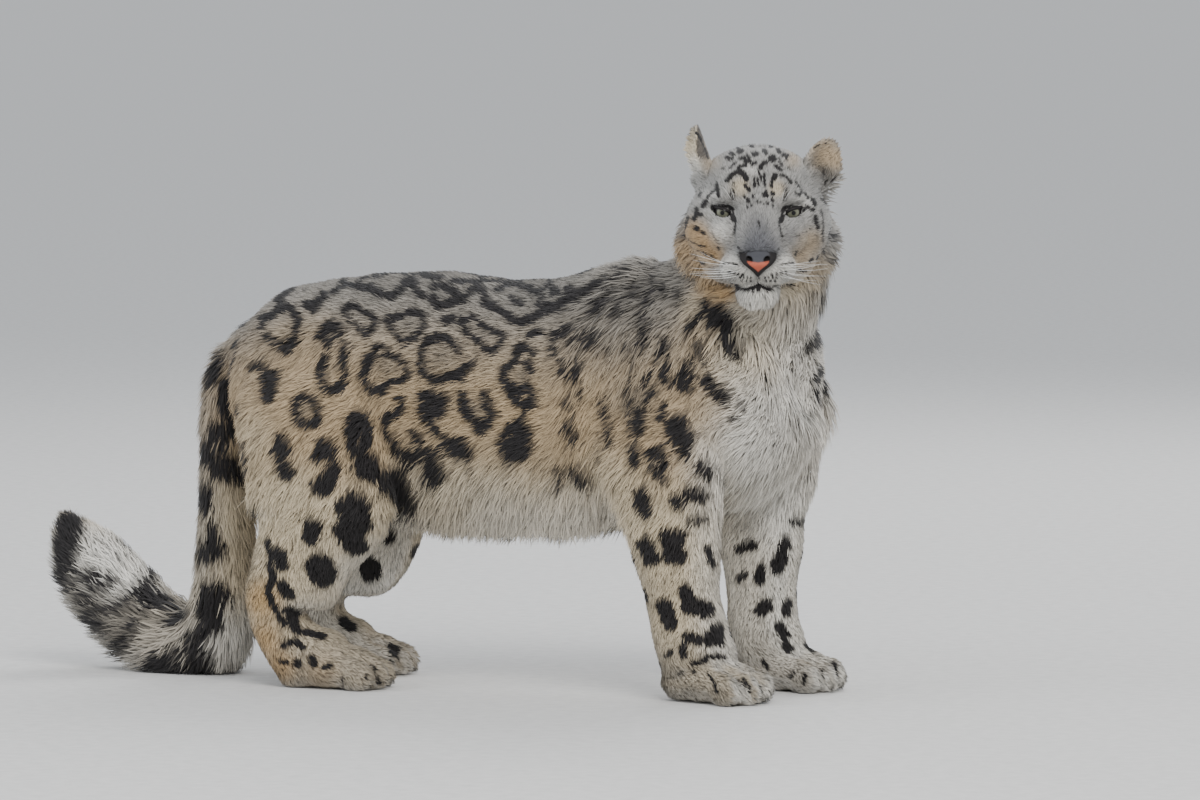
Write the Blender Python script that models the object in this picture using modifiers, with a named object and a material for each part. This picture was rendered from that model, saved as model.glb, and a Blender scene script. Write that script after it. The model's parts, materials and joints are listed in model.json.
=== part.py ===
"""A snow leopard standing with its head turned to its right, at life size.

Metres, +X towards the animal's front, +Y its left, +Z up. The pose is set out in a
frame whose origin lies on the floor under the trunk. REST_SHIFT then moves the
finished pieces, so that the box round them has its bottom centre at the origin.
"""

import math
import random

import bmesh
import bpy
import numpy as np
from mathutils import Matrix, Vector
from mathutils.bvhtree import BVHTree

# Driving dimensions
REST_SHIFT = Vector((0.2206, 0.0232, 0.0))
GAP = 0.0003
# EXACT leaves open edges where thin locks cross
CUT_SOLVER = "MANIFOLD"
SHORTEST_EDGE = 0.000001
NUDGE = 0.00002
FLESH_VOXEL = 0.0085
PAW_VOXEL = 0.0045
HEAD_VOXEL = 0.0032
LEFT, RIGHT = 1, -1

# Head: its frame has +X out of the face, +Y the animal's left, origin between the eyes
EYES_AT = Vector((0.267, -0.148, 0.631))
FACE_HEADING = math.radians(-71.0)
FACE_PITCH = math.radians(5.5)
EYE_RADIUS = 0.0138
EYE_OUT = 0.0427
EYE_BACK = -0.004
EYE_TURN = math.radians(10.0)
EYE_SLANT = math.radians(19.0)
LID_THICKNESS = 0.0026
LID_WIDTH = 0.030
LID_HEIGHT = 0.0125

# Trunk, from rump to breast: centre x, y, z, half width, rise above it, drop below it
TRUNK = (
    (-0.507, 0.000, 0.410, 0.030, 0.030, 0.035),
    (-0.492, 0.000, 0.410, 0.070, 0.068, 0.080),
    (-0.450, 0.000, 0.405, 0.106, 0.112, 0.130),
    (-0.390, 0.003, 0.398, 0.126, 0.133, 0.145),
    (-0.310, 0.010, 0.390, 0.132, 0.151, 0.152),
    (-0.220, 0.016, 0.383, 0.133, 0.160, 0.166),
    (-0.130, 0.018, 0.377, 0.134, 0.157, 0.166),
    (-0.040, 0.014, 0.377, 0.135, 0.163, 0.162),
    (0.040, 0.004, 0.382, 0.132, 0.176, 0.156),
    (0.110, -0.004, 0.387, 0.127, 0.180, 0.150),
    (0.180, -0.008, 0.390, 0.124, 0.160, 0.142),
    (0.235, -0.012, 0.390, 0.110, 0.132, 0.120),
    (0.272, -0.015, 0.392, 0.078, 0.094, 0.082),
    (0.286, -0.017, 0.394, 0.036, 0.048, 0.038),
)
# Neck, from inside the shoulders to inside the skull: side, nape and throat radii
NECK = (
    (0.050, 0.000, 0.420, 0.112, 0.098, 0.110),
    (0.112, 0.004, 0.460, 0.114, 0.100, 0.120),
    (0.168, 0.006, 0.505, 0.108, 0.094, 0.112),
    (0.206, -0.006, 0.553, 0.096, 0.082, 0.102),
    (0.228, -0.036, 0.600, 0.086, 0.070, 0.088),
    (0.240, -0.064, 0.632, 0.070, 0.058, 0.070),
)
# Breast: centre and radii of the deep chest between the shoulders
BREAST = (
    (0.190, 0.028, 0.428),
    (0.106, 0.118, 0.128),
)
# Tail: centre x, y, z and radius
TAIL = (
    (-0.440, 0.000, 0.445, 0.036),
    (-0.485, 0.000, 0.437, 0.038),
    (-0.515, 0.000, 0.400, 0.037),
    (-0.526, 0.002, 0.350, 0.037),
    (-0.529, 0.004, 0.290, 0.037),
    (-0.532, 0.008, 0.225, 0.038),
    (-0.535, 0.011, 0.160, 0.041),
    (-0.540, 0.015, 0.102, 0.046),
    (-0.560, 0.021, 0.054, 0.052),
    (-0.600, 0.029, 0.043, 0.055),
    (-0.643, 0.035, 0.053, 0.057),
    (-0.684, 0.038, 0.080, 0.057),
    (-0.719, 0.040, 0.114, 0.054),
    (-0.749, 0.040, 0.147, 0.044),
    (-0.770, 0.040, 0.178, 0.027),
    (-0.779, 0.040, 0.196, 0.010),
)
TAIL_LENGTHS = 5
TAIL_CUT = 0.085
TAIL_RINGS = 12
LOCK_SPREAD = 0.30

# Locks of long coat, by place: length, width, thickness, how far the middle and the tip
# stand off the skin, and how closely they follow it, from 0 for hanging free to 1
LOCKS = {
    "fringe": (0.070, 0.048, 0.0110, 0.002, 0.004, 0.0),
    "flank": (0.080, 0.054, 0.0090, 0.003, 0.006, 0.65),
    "chest": (0.095, 0.046, 0.0100, 0.004, 0.007, 1.0),
    "ruff": (0.074, 0.044, 0.0100, 0.004, 0.007, 1.0),
    "cheek": (0.050, 0.032, 0.0085, 0.004, 0.010, 0.9),
    "chin": (0.020, 0.020, 0.0080, 0.001, 0.001, 0.6),
    "elbow": (0.060, 0.030, 0.0080, 0.003, 0.009, 0.9),
    "thigh": (0.070, 0.038, 0.0090, 0.004, 0.011, 0.9),
    "tail": (0.085, 0.050, 0.0100, 0.000, 0.000, 1.0),
}
# Along a lock: share of its length, of its width and of its lift, up to its point
LOCK_RINGS = ((-0.14, 0.60, 0.0), (0.26, 1.00, 0.7), (0.56, 0.88, 1.0), (0.82, 0.55, 0.7), (1.0, 0.0, 0.0))
# Height of the fringe's tips along the belly: x and z
FRINGE_TIPS = ((-0.28, 0.186), (-0.234, 0.166), (-0.17, 0.171), (-0.10, 0.179), (0.011, 0.201), (0.08, 0.212))
CORE_SHARE = 0.74
# A lock that follows the skin less than this hangs straight from its root
HANGS_BELOW = 0.7

# Legs, from inside the trunk to the wrist or heel: centre, side, fore and aft radii
NEAR_FORELEG = (
    (0.075, -0.070, 0.470, 0.042, 0.070, 0.075),
    (0.105, -0.086, 0.385, 0.052, 0.096, 0.098),
    (0.125, -0.094, 0.305, 0.055, 0.086, 0.086),
    (0.134, -0.098, 0.240, 0.053, 0.068, 0.066),
    (0.143, -0.100, 0.185, 0.048, 0.056, 0.056),
    (0.150, -0.100, 0.135, 0.044, 0.048, 0.049),
    (0.160, -0.100, 0.090, 0.045, 0.049, 0.050),
    (0.172, -0.100, 0.050, 0.046, 0.052, 0.050),
)
FAR_FORELEG = (
    (0.125, 0.076, 0.470, 0.046, 0.075, 0.080),
    (0.178, 0.092, 0.385, 0.056, 0.104, 0.104),
    (0.190, 0.090, 0.305, 0.056, 0.084, 0.090),
    (0.188, 0.086, 0.240, 0.052, 0.068, 0.066),
    (0.194, 0.082, 0.185, 0.047, 0.056, 0.055),
    (0.196, 0.080, 0.135, 0.043, 0.047, 0.047),
    (0.198, 0.079, 0.090, 0.044, 0.047, 0.047),
    (0.208, 0.078, 0.050, 0.045, 0.050, 0.048),
)
NEAR_HINDLEG = (
    (-0.385, -0.062, 0.440, 0.045, 0.085, 0.080),
    (-0.374, -0.084, 0.370, 0.058, 0.110, 0.100),
    (-0.356, -0.098, 0.300, 0.060, 0.108, 0.104),
    (-0.344, -0.104, 0.240, 0.054, 0.094, 0.096),
    (-0.364, -0.106, 0.190, 0.046, 0.070, 0.076),
    (-0.392, -0.106, 0.150, 0.042, 0.074, 0.058),
    (-0.410, -0.105, 0.115, 0.038, 0.042, 0.046),
    (-0.406, -0.103, 0.080, 0.037, 0.038, 0.040),
    (-0.386, -0.102, 0.046, 0.040, 0.044, 0.042),
)
FAR_HINDLEG = (
    (-0.400, 0.064, 0.440, 0.045, 0.085, 0.070),
    (-0.390, 0.086, 0.370, 0.058, 0.108, 0.094),
    (-0.376, 0.096, 0.300, 0.060, 0.102, 0.098),
    (-0.366, 0.098, 0.240, 0.054, 0.088, 0.088),
    (-0.386, 0.096, 0.190, 0.048, 0.092, 0.068),
    (-0.412, 0.092, 0.150, 0.042, 0.082, 0.056),
    (-0.430, 0.089, 0.115, 0.038, 0.042, 0.044),
    (-0.432, 0.086, 0.080, 0.037, 0.036, 0.040),
    (-0.416, 0.084, 0.046, 0.040, 0.042, 0.042),
)
# Each leg: its rows, first row of its lower part, paw centre, heading in degrees, paw size,
# centre and radii of the outline that parts it from the trunk, height of its two joints
LEGS = {
    "foreleg_right": (NEAR_FORELEG, 2, (0.196, -0.104), -16.0, 1.00, (0.105, 0.300), (0.115, 0.175), 0.205, 0.064),
    "foreleg_left": (FAR_FORELEG, 2, (0.234, 0.076), -6.0, 1.00, (0.160, 0.300), (0.122, 0.175), 0.205, 0.064),
    "hindleg_right": (NEAR_HINDLEG, 2, (-0.330, -0.101), 2.0, 1.00, (-0.366, 0.300), (0.115, 0.165), 0.170, 0.058),
    "hindleg_left": (FAR_HINDLEG, 2, (-0.368, 0.082), 4.0, 0.98, (-0.380, 0.300), (0.112, 0.165), 0.170, 0.058),
}
# Head: centre forward, left, up, then radii and a turn about Z; one off the middle is on both sides
SKULL_BALLS = (
    ((-0.066, 0.000, 0.020), (0.068, 0.078, 0.060), 0.0),
    ((-0.034, 0.020, 0.028), (0.046, 0.050, 0.052), 0.0),
    ((-0.036, 0.050, -0.020), (0.048, 0.044, 0.050), -12.0),
    ((-0.030, 0.034, -0.060), (0.044, 0.042, 0.038), -8.0),
    ((-0.002, 0.000, -0.036), (0.046, 0.046, 0.042), 0.0),
    ((-0.070, 0.000, -0.040), (0.062, 0.074, 0.060), 0.0),
    ((-0.062, 0.062, 0.036), (0.026, 0.026, 0.026), 0.0),
    ((-0.076, 0.050, -0.040), (0.038, 0.049, 0.052), 0.0),
)
FACE_BALLS = (
    ((-0.010, 0.024, 0.024), (0.028, 0.032, 0.036), 0.0),
    ((0.005, 0.033, -0.030), (0.027, 0.029, 0.034), -20.0),
    ((0.026, 0.000, -0.054), (0.034, 0.034, 0.028), 0.0),
    ((0.030, 0.0235, -0.066), (0.027, 0.0245, 0.0210), -14.0),
    ((0.014, 0.000, -0.096), (0.034, 0.032, 0.0195), 0.0),
    ((0.003, 0.040, 0.0170), (0.014, 0.020, 0.0085), -18.0),
)
# Bridge of the nose, from the brow to the nose leather: side, top and under radii
NOSE_BRIDGE = (
    (-0.012, 0.000, 0.018, 0.029, 0.026, 0.030),
    (0.008, 0.000, 0.000, 0.0275, 0.022, 0.030),
    (0.026, 0.000, -0.018, 0.0270, 0.021, 0.030),
    (0.043, 0.000, -0.036, 0.0255, 0.017, 0.026),
    (0.053, 0.000, -0.049, 0.0220, 0.012, 0.016),
)
# Nose leather, from top to bottom: side, front and back radii
NOSE_LEATHER = (
    (0.0560, 0.0, -0.0395, 0.0130, 0.0050, 0.010),
    (0.0585, 0.0, -0.0440, 0.0205, 0.0085, 0.013),
    (0.0600, 0.0, -0.0500, 0.0235, 0.0100, 0.014),
    (0.0595, 0.0, -0.0570, 0.0195, 0.0100, 0.014),
    (0.0570, 0.0, -0.0640, 0.0110, 0.0085, 0.012),
    (0.0545, 0.0, -0.0705, 0.0045, 0.0055, 0.009),
    (0.0530, 0.0, -0.0740, 0.0020, 0.0030, 0.006),
)
NOSTRIL_AT = (0.0665, 0.0120, -0.0525)
NOSTRIL_RADII = (0.0100, 0.0048, 0.0030)
# Hollows and swellings pressed into the face: centre, reach, shift; each is on both sides
FACE_PRESSES = (
    ((0.012, 0.036, -0.004), 0.020, (-0.0055, 0.0, 0.0)),
    ((0.010, 0.028, -0.010), 0.014, (-0.0020, 0.0, 0.0)),
    ((-0.020, 0.068, 0.030), 0.030, (0.0, -0.0050, 0.0)),
    ((0.012, 0.046, -0.052), 0.022, (-0.0040, -0.0040, 0.0)),
)
# The line of the mouth, as places left and up on the face, and the crease under the nose
MOUTH_LINE = (
    (0.0, -0.0870),
    (0.010, -0.0900),
    (0.020, -0.0900),
    (0.030, -0.0870),
    (0.038, -0.0810),
    (0.045, -0.0740),
)
PHILTRUM = ((0.0, -0.0735), (0.0, -0.0800), (0.0, -0.0865))
MOUTH_WIDTH = 0.0030
# Each ear: base, way its height points, way its cup faces
EARS = {
    "ear_right": ((-0.058, -0.067, 0.050), (-0.10, -0.20, 0.97), (0.50, -0.86, 0.05)),
    "ear_left": ((-0.055, 0.071, 0.035), (-0.12, 0.45, 0.88), (0.85, 0.50, 0.05)),
}
HEAD_BOX = ((-0.100, -0.155, -0.130), (0.15, 0.155, 0.15))
EAR_HEIGHT = 0.054
EAR_HALF_WIDTH = 0.029
EAR_ROOT = 0.35
EAR_CUP = 0.020
EAR_THICKNESS = 0.0042

# Planes that part the trunk: a point and the way to the further piece
NECK_PLANE = ((0.150, 0.0, 0.520), (0.60, 0.0, 0.80))
BREAST_PLANE = ((-0.030, 0.0, 0.0), (1.0, 0.0, 0.0))
RUMP_PLANE = ((-0.255, 0.0, 0.0), (-1.0, 0.0, 0.0))

LEG_INNER_SIDE = 0.044
LEG_BOX_INNER_SIDE = 0.012
LEG_BOX_TOP = 0.205
LEG_BOX_MARGIN = 0.012
LEG_OUTER_SIDE = 0.30

# Paw at size 1: centre forward, left, up, then radii, of the ball, the instep and each toe
PAW_BALL = ((0.000, 0.000, 0.028), (0.058, 0.048, 0.031))
PAW_INSTEP = ((-0.024, 0.000, 0.045), (0.042, 0.043, 0.034))
TOE_PLACES = ((0.036, -0.036), (0.050, -0.0135), (0.050, 0.0135), (0.036, 0.036))
TOE_RADII = (0.027, 0.0152, 0.023)
TOE_HEIGHT = 0.021

FUR_COLOUR = (0.52, 0.47, 0.39, 1.0)
FUR_ROUGHNESS = 0.9
# Start of the name, colour and roughness of the nodes that aren't plain fur
LOOKS = (
    ("eye", (0.33, 0.36, 0.24, 1.0), 0.1),
    ("nose", (0.42, 0.17, 0.13, 1.0), 0.45),
    ("belly", (0.62, 0.59, 0.52, 1.0), 0.9),
    ("chest", (0.62, 0.58, 0.48, 1.0), 0.9),
    ("tail", (0.40, 0.37, 0.32, 1.0), 0.9),
)


def material(name, colour, roughness):
    made = bpy.data.materials.new(name)
    made.use_nodes = True
    shader = made.node_tree.nodes["Principled BSDF"]
    shader.inputs["Base Color"].default_value = colour
    shader.inputs["Roughness"].default_value = roughness
    shader.inputs["Metallic"].default_value = 0.0
    return made


def smooth_rows(rows, steps):
    """Rows of numbers read at even steps along a smooth curve through the given ones."""
    rows = np.array(rows, float)
    padded = np.vstack([2 * rows[0] - rows[1], rows, 2 * rows[-1] - rows[-2]])
    found = []
    for reach in np.linspace(0, len(rows) - 1, steps):
        first = min(int(reach), len(rows) - 2)
        f = reach - first
        a, b, c, d = padded[first : first + 4]
        bend = (2 * a - 5 * b + 4 * c - d) * f * f + (3 * b - a - 3 * c + d) * f**3
        found.append(0.5 * (2 * b + (c - a) * f + bend))
    return np.array(found)


def loft(rows, steps, sides, squareness=2.2, across=(0.0, 1.0, 0.0)):
    """A closed tube through rows of centre, side radius and the two radii across it."""
    rows = smooth_rows(rows, steps)
    tangents = np.gradient(rows[:, :3], axis=0)
    bm = bmesh.new()
    rings = []
    for row, tangent in zip(rows, tangents):
        along = Vector(tangent).normalized()
        side = Vector(across)
        side = (side - along * side.dot(along)).normalized()
        front = along.cross(side)
        ring = []
        for k in range(sides):
            turn = 2 * math.pi * k / sides
            c, s = math.cos(turn), math.sin(turn)
            out = math.copysign(abs(c) ** (2 / squareness), c) * row[3]
            rise = math.copysign(abs(s) ** (2 / squareness), s) * (row[4] if s > 0 else row[5])
            ring.append(bm.verts.new(Vector(row[:3]) + side * out + front * rise))
        rings.append(ring)
    for low, high in zip(rings, rings[1:]):
        for k in range(sides):
            bm.faces.new((low[k], low[k - 1], high[k - 1], high[k]))
    bm.faces.new(rings[0])
    bm.faces.new(rings[-1][::-1])
    bmesh.ops.triangulate(bm, faces=bm.faces)
    return finished_mesh(bm)


def finished_mesh(bm):
    bmesh.ops.recalc_face_normals(bm, faces=bm.faces)
    if bm.calc_volume(signed=True) < 0:
        bmesh.ops.reverse_faces(bm, faces=bm.faces)
    mesh = bpy.data.meshes.new("shape")
    bm.to_mesh(mesh)
    bm.free()
    return mesh


def ball(centre, radii, turn=(0.0, 0.0, 0.0), segments=20):
    """An ellipsoid, turned about its own centre by angles in degrees."""
    bm = bmesh.new()
    bmesh.ops.create_uvsphere(bm, u_segments=segments, v_segments=segments * 2 // 3, radius=1.0)
    bm.transform(placed(centre, turn) @ Matrix.Diagonal((*radii, 1.0)))
    return finished_mesh(bm)


def placed(centre, turn=(0.0, 0.0, 0.0)):
    x, y, z = (Matrix.Rotation(math.radians(a), 4, axis) for a, axis in zip(turn, "XYZ"))
    return Matrix.Translation(Vector(centre)) @ z @ y @ x


def as_object(name, mesh):
    """Links a mesh or curve for work in hand: what is kept moves to the model's collection."""
    made = bpy.data.objects.new(name, mesh)
    made.hide_render = True
    made.display_type = "WIRE"
    bpy.data.collections["cutters"].objects.link(made)
    return made


def remove(*objects):
    for obj in objects:
        bpy.data.objects.remove(obj, do_unlink=True)


def apply_modifiers(obj):
    graph = bpy.context.evaluated_depsgraph_get()
    mesh = bpy.data.meshes.new_from_object(obj.evaluated_get(graph))
    obj.modifiers.clear()
    obj.data = mesh
    return obj


def joined(meshes):
    bm = bmesh.new()
    for mesh in meshes:
        bm.from_mesh(mesh)
    return finished_mesh(bm)


def fused(name, meshes, voxel, smoothing, triangles=None):
    """One closed surface round all the shapes, with soft joins, thinned to a count."""
    obj = as_object(name, joined(meshes))
    remesh = obj.modifiers.new("fuse", "REMESH")
    remesh.mode = "VOXEL"
    remesh.voxel_size = voxel
    soften = obj.modifiers.new("soften", "SMOOTH")
    soften.factor = 0.5
    soften.iterations = smoothing
    apply_modifiers(obj)
    return thinned(obj, triangles) if triangles else obj


def thinned(obj, triangles):
    now = sum(len(face.vertices) - 2 for face in obj.data.polygons)
    thin = obj.modifiers.new("thin", "DECIMATE")
    thin.ratio = min(1.0, triangles / now)
    thin.use_collapse_triangulate = True
    return apply_modifiers(obj)


def combine(obj, other, operation):
    """Cuts obj by another closed mesh, or keeps what both share, or adds it on."""
    boolean = obj.modifiers.new("cut", "BOOLEAN")
    boolean.operation = operation
    boolean.object = other
    boolean.solver = CUT_SOLVER
    return apply_modifiers(obj)


def copied(obj, name):
    return as_object(name, obj.data.copy())


def grown(obj, distance):
    """A copy whose surface stands further out by a distance."""
    twin = copied(obj, "grown")
    bm = bmesh.new()
    bm.from_mesh(twin.data)
    bmesh.ops.triangulate(bm, faces=bm.faces)
    bm.normal_update()
    for vertex in bm.verts:
        vertex.co += vertex.normal * distance * min(vertex.calc_shell_factor(), 3.0)
    bm.to_mesh(twin.data)
    bm.free()
    return twin


def tidied(obj):
    """Closes up edges too short to hold, drops flaps with no thickness, parts corners that touch."""
    bm = bmesh.new()
    bm.from_mesh(obj.data)
    bmesh.ops.triangulate(bm, faces=bm.faces)
    bmesh.ops.dissolve_degenerate(bm, dist=SHORTEST_EDGE, edges=bm.edges)
    bmesh.ops.triangulate(bm, faces=bm.faces)
    twins = {}
    for face in bm.faces:
        twins.setdefault(frozenset(face.verts), []).append(face)
    flaps = [face for faces in twins.values() if len(faces) > 1 for face in faces]
    bmesh.ops.delete(bm, geom=flaps, context="FACES")
    bm.normal_update()
    taken = set()
    for vertex in bm.verts:
        place = tuple(round(c / SHORTEST_EDGE) for c in vertex.co)
        if place in taken:
            vertex.co -= vertex.normal * NUDGE
        taken.add(place)
    bm.to_mesh(obj.data)
    bm.free()
    return obj


def loose_sets(bm):
    """The sets of faces that hang together across their edges, smallest first."""
    left, sets = set(bm.faces), []
    while left:
        found, edge = set(), [left.pop()]
        while edge:
            face = edge.pop()
            found.add(face)
            near = {f for e in face.edges for f in e.link_faces} & left
            left -= near
            edge.extend(near)
        sets.append(found)
    return sorted(sets, key=len)


def keep_largest(obj):
    """Drops every loose piece but the one with the most faces."""
    bm = bmesh.new()
    bm.from_mesh(obj.data)
    spare = [face for found in loose_sets(bm)[:-1] for face in found]
    bmesh.ops.delete(bm, geom=spare, context="FACES")
    bm.to_mesh(obj.data)
    bm.free()
    return obj


def surface_of(obj):
    return BVHTree.FromObject(obj, bpy.context.evaluated_depsgraph_get())


def lock(surface, start, way, lie, kind, chance, scale=1.0, length=None):
    """A flat, tapering clump of hair, rooted where a ray from inside leaves the skin.

    It bends along the lie of the coat, first lifting off the skin and then coming back.
    """
    point, normal = surface.ray_cast(Vector(start), Vector(way).normalized())[:2]
    reach, width, depth, lift, rise, hug = (LOCKS[kind][0] * scale, *LOCKS[kind][1:])
    reach = (length or reach) * chance.uniform(0.88, 1.10)
    if normal.dot(Vector(way)) < 0:
        normal = -normal
    lie = Vector(lie).normalized()
    along = (lie - normal * lie.dot(normal) * hug).normalized()
    across = along.cross(normal)
    if across.length < 0.3:
        across = Vector((1.0, 0.0, 0.0))
    across.normalize()
    out = across.cross(along)
    if out.dot(normal) < 0:
        out = -out
    swing = chance.uniform(-0.16, 0.16)
    rings = []
    for share, broad, high in LOCK_RINGS:
        up = max(share, 0.0) ** 2
        spot = point + along * reach * share + across * swing * reach * up
        if hug > HANGS_BELOW:
            spot, out = surface.find_nearest(spot)[:2]
        spot = spot + out * (lift * high + rise * up - (depth if share < 0 else 0.0))
        rings.append((spot, across, out, width / 2 * broad, depth))
    return clump(rings)


def clump(rings):
    """A closed strand with a flat underside and a low ridge, from its root to its point."""
    bm = bmesh.new()
    loops = []
    for spot, across, out, half, depth in rings[:-1]:
        low = spot - out * depth * 0.35
        corners = (low - across * half, low + across * half, spot + out * depth * 0.65)
        loops.append([bm.verts.new(corner) for corner in corners])
    for low, high in zip(loops, loops[1:]):
        for k in range(3):
            bm.faces.new((low[k], low[k - 1], high[k - 1], high[k]))
    tip = bm.verts.new(rings[-1][0])
    for k in range(3):
        bm.faces.new((loops[-1][k], loops[-1][k - 1], tip))
    bm.faces.new(loops[0])
    bmesh.ops.triangulate(bm, faces=bm.faces)
    return finished_mesh(bm)


def with_locks(obj, locks, triangles):
    """Joins a body and its locks into one closed surface, thinned to a count."""
    bundle = bpy.data.collections.new("locks")
    for mesh in locks:
        bundle.objects.link(bpy.data.objects.new("lock", mesh))
    union = obj.modifiers.new("locks", "BOOLEAN")
    union.operation = "UNION"
    union.operand_type = "COLLECTION"
    union.collection = bundle
    union.solver = CUT_SOLVER
    apply_modifiers(obj)
    remove(*bundle.objects)
    bpy.data.collections.remove(bundle)
    return thinned(tidied(keep_largest(obj)), triangles)


def belly_locks(surface, chance):
    """The fringe under the belly, in two rows a side, and the low flanks over it."""
    made = []
    tips = np.array(FRINGE_TIPS)
    for k in range(10):
        for side in (LEFT, RIGHT):
            x = -0.272 + 0.036 * k + chance.uniform(-0.005, 0.005)
            tip = float(np.interp(x, tips[:, 0], tips[:, 1])) + chance.uniform(-0.004, 0.006)
            for angle, kind, short in ((22, "fringe", 0.0), (72, "flank", 0.020)):
                turn = math.radians(angle + chance.uniform(-5, 5))
                way = Vector((0.0, side * math.sin(turn), -math.cos(turn)))
                start = (x + (0.012 if kind == "flank" else 0.0), 0.012, 0.330)
                skin = surface.ray_cast(Vector(start), way)[0]
                drop = max(skin.z - tip - short, 0.030)
                lie = (-0.14, 0.0, -1.0)
                made.append(lock(surface, start, way, lie, kind, chance, length=drop))
    return made


def chest_locks(surface, chance):
    """The long white coat down the chest, round its front and between the forelegs."""
    made = []
    for level, z in enumerate((0.455, 0.400, 0.345, 0.295)):
        for k in range(5):
            y = -0.086 + 0.042 * k + (0.020 if level % 2 else 0.0) + chance.uniform(-0.004, 0.004)
            way = (1.0, y * 3.2, -0.06)
            made.append(lock(surface, (0.14, y * 0.55, z), way, (-0.10, y * 0.6, -1.0), "chest", chance))
    for k in range(3):
        for y in (-0.024, 0.026):
            x = 0.130 + 0.044 * k
            tip = 0.214 + 0.012 * k
            skin = surface.ray_cast(Vector((x, y, 0.36)), Vector((0, 0, -1)))[0]
            drop = max(skin.z - tip, 0.030)
            made.append(lock(surface, (x, y, 0.36), (0, 0, -1), (-0.1, 0, -1), "fringe", chance, length=drop))
    return made


def ruff_locks(surface, chance):
    """The ruff: rings of locks round the neck that point down and back from the head."""
    made = []
    rows = smooth_rows(NECK, 60)
    for level, spot in enumerate((30, 36, 42)):
        centre = Vector(rows[spot][:3])
        forward = Vector(rows[spot + 1][:3] - rows[spot - 1][:3]).normalized()
        side = Vector((0.0, 1.0, 0.0))
        side = (side - forward * side.dot(forward)).normalized()
        up = forward.cross(side)
        if up.z < 0:
            up = -up
        for k in range(7):
            turn = math.radians(-108 + 36 * k + (18 if level % 2 else 0) + chance.uniform(-4, 4))
            way = side * math.sin(turn) - up * math.cos(turn)
            lie = -forward + Vector((0.0, 0.0, -0.75))
            made.append(lock(surface, centre, way, lie, "ruff", chance))
    return made


def leg_locks(surface, chance):
    """Tufts behind the elbows and down the back of the thighs."""
    made = []
    for rows, *_ in LEGS.values():
        elbow = rows is NEAR_FORELEG or rows is FAR_FORELEG
        table = smooth_rows(rows, 60)
        side = LEFT if rows[2][1] > 0 else RIGHT
        heights = (0.330, 0.295, 0.262) if elbow else (0.350, 0.312, 0.275, 0.240)
        for level, z in enumerate(heights):
            row = table[int(np.argmin(abs(table[:, 2] - z)))]
            for k in range(2):
                turn = math.radians(24 + 34 * k + (12 if level % 2 else 0))
                way = Vector((-math.cos(turn), side * math.sin(turn), 0.0))
                lie = (-0.22, 0.0, -1.0)
                made.append(lock(surface, Vector(row[:3]), way, lie, "elbow" if elbow else "thigh", chance))
    return made


def head_locks(surface, chance):
    """The ruff behind each cheek and the tuft under the chin, in the head's frame."""
    made = []
    for side in (LEFT, RIGHT):
        for level, forward in enumerate((-0.048, -0.070)):
            for k in range(5):
                turn = math.radians(-14 + 24 * k + (12 if level else 0) + chance.uniform(-4, 4))
                way = Vector((-0.10, side * math.cos(turn), -math.sin(turn)))
                lie = Vector((-0.80, side * 0.30, -0.55 - 0.30 * math.sin(turn)))
                made.append(lock(surface, (forward, 0.0, -0.020), way, lie, "cheek", chance))
    for left in (-0.022, -0.011, 0.0, 0.011, 0.022):
        made.append(lock(surface, (0.008, left, -0.092), (0.7, 0, -1), (0.1, left * 4, -1.0), "chin", chance))
    return made


def tail_locks(chance):
    """Rings of locks that bend along the tail towards its tip, out to its full width."""
    made = []
    table = smooth_rows(TAIL, 400)
    step = float(np.linalg.norm(np.diff(table[:, :3], axis=0), axis=1).mean())
    reach, width, depth = LOCKS["tail"][:3]
    for ring in range(TAIL_RINGS):
        start = 50 + int(ring * (340 - 50) / (TAIL_RINGS - 1))
        for k in range(4):
            turn = math.radians(90 * k + 45 * (ring % 2) + chance.uniform(-8, 8))
            rings = []
            for share, broad, _ in LOCK_RINGS:
                at = min(max(start + int(share * reach / step), 1), len(table) - 2)
                along = Vector(table[at + 1, :3] - table[at - 1, :3]).normalized()
                side = Vector((0.0, 1.0, 0.0))
                side = (side - along * side.dot(along)).normalized()
                front = along.cross(side)
                out = side * math.cos(turn) + front * math.sin(turn)
                stand = table[at, 3] * (CORE_SHARE - 0.04 + LOCK_SPREAD * share)
                spot = Vector(table[at, :3]) + out * stand
                rings.append((spot, along.cross(out), out, width / 2 * broad, depth))
            made.append(clump(rings))
    return made


def half_space(point, normal, gap=0.0):
    """A large box on the side of a plane that its normal points to."""
    reach = 3.0
    along = Vector(normal).normalized()
    bm = bmesh.new()
    bmesh.ops.create_cube(bm, size=2 * reach)
    turn = along.to_track_quat("Z", "Y").to_matrix().to_4x4()
    bm.transform(Matrix.Translation(Vector(point) + along * (reach + gap)) @ turn)
    return as_object("half_space", finished_mesh(bm))


def sliced(obj, name, point, normal):
    """Parts obj at a plane: the side its normal points to becomes a new object."""
    beyond = copied(obj, name)
    for piece, way in ((beyond, Vector(normal)), (obj, -Vector(normal))):
        side = half_space(point, way, GAP / 2)
        combine(piece, side, "INTERSECT")
        remove(side)
        keep_largest(piece)
    return beyond


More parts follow.
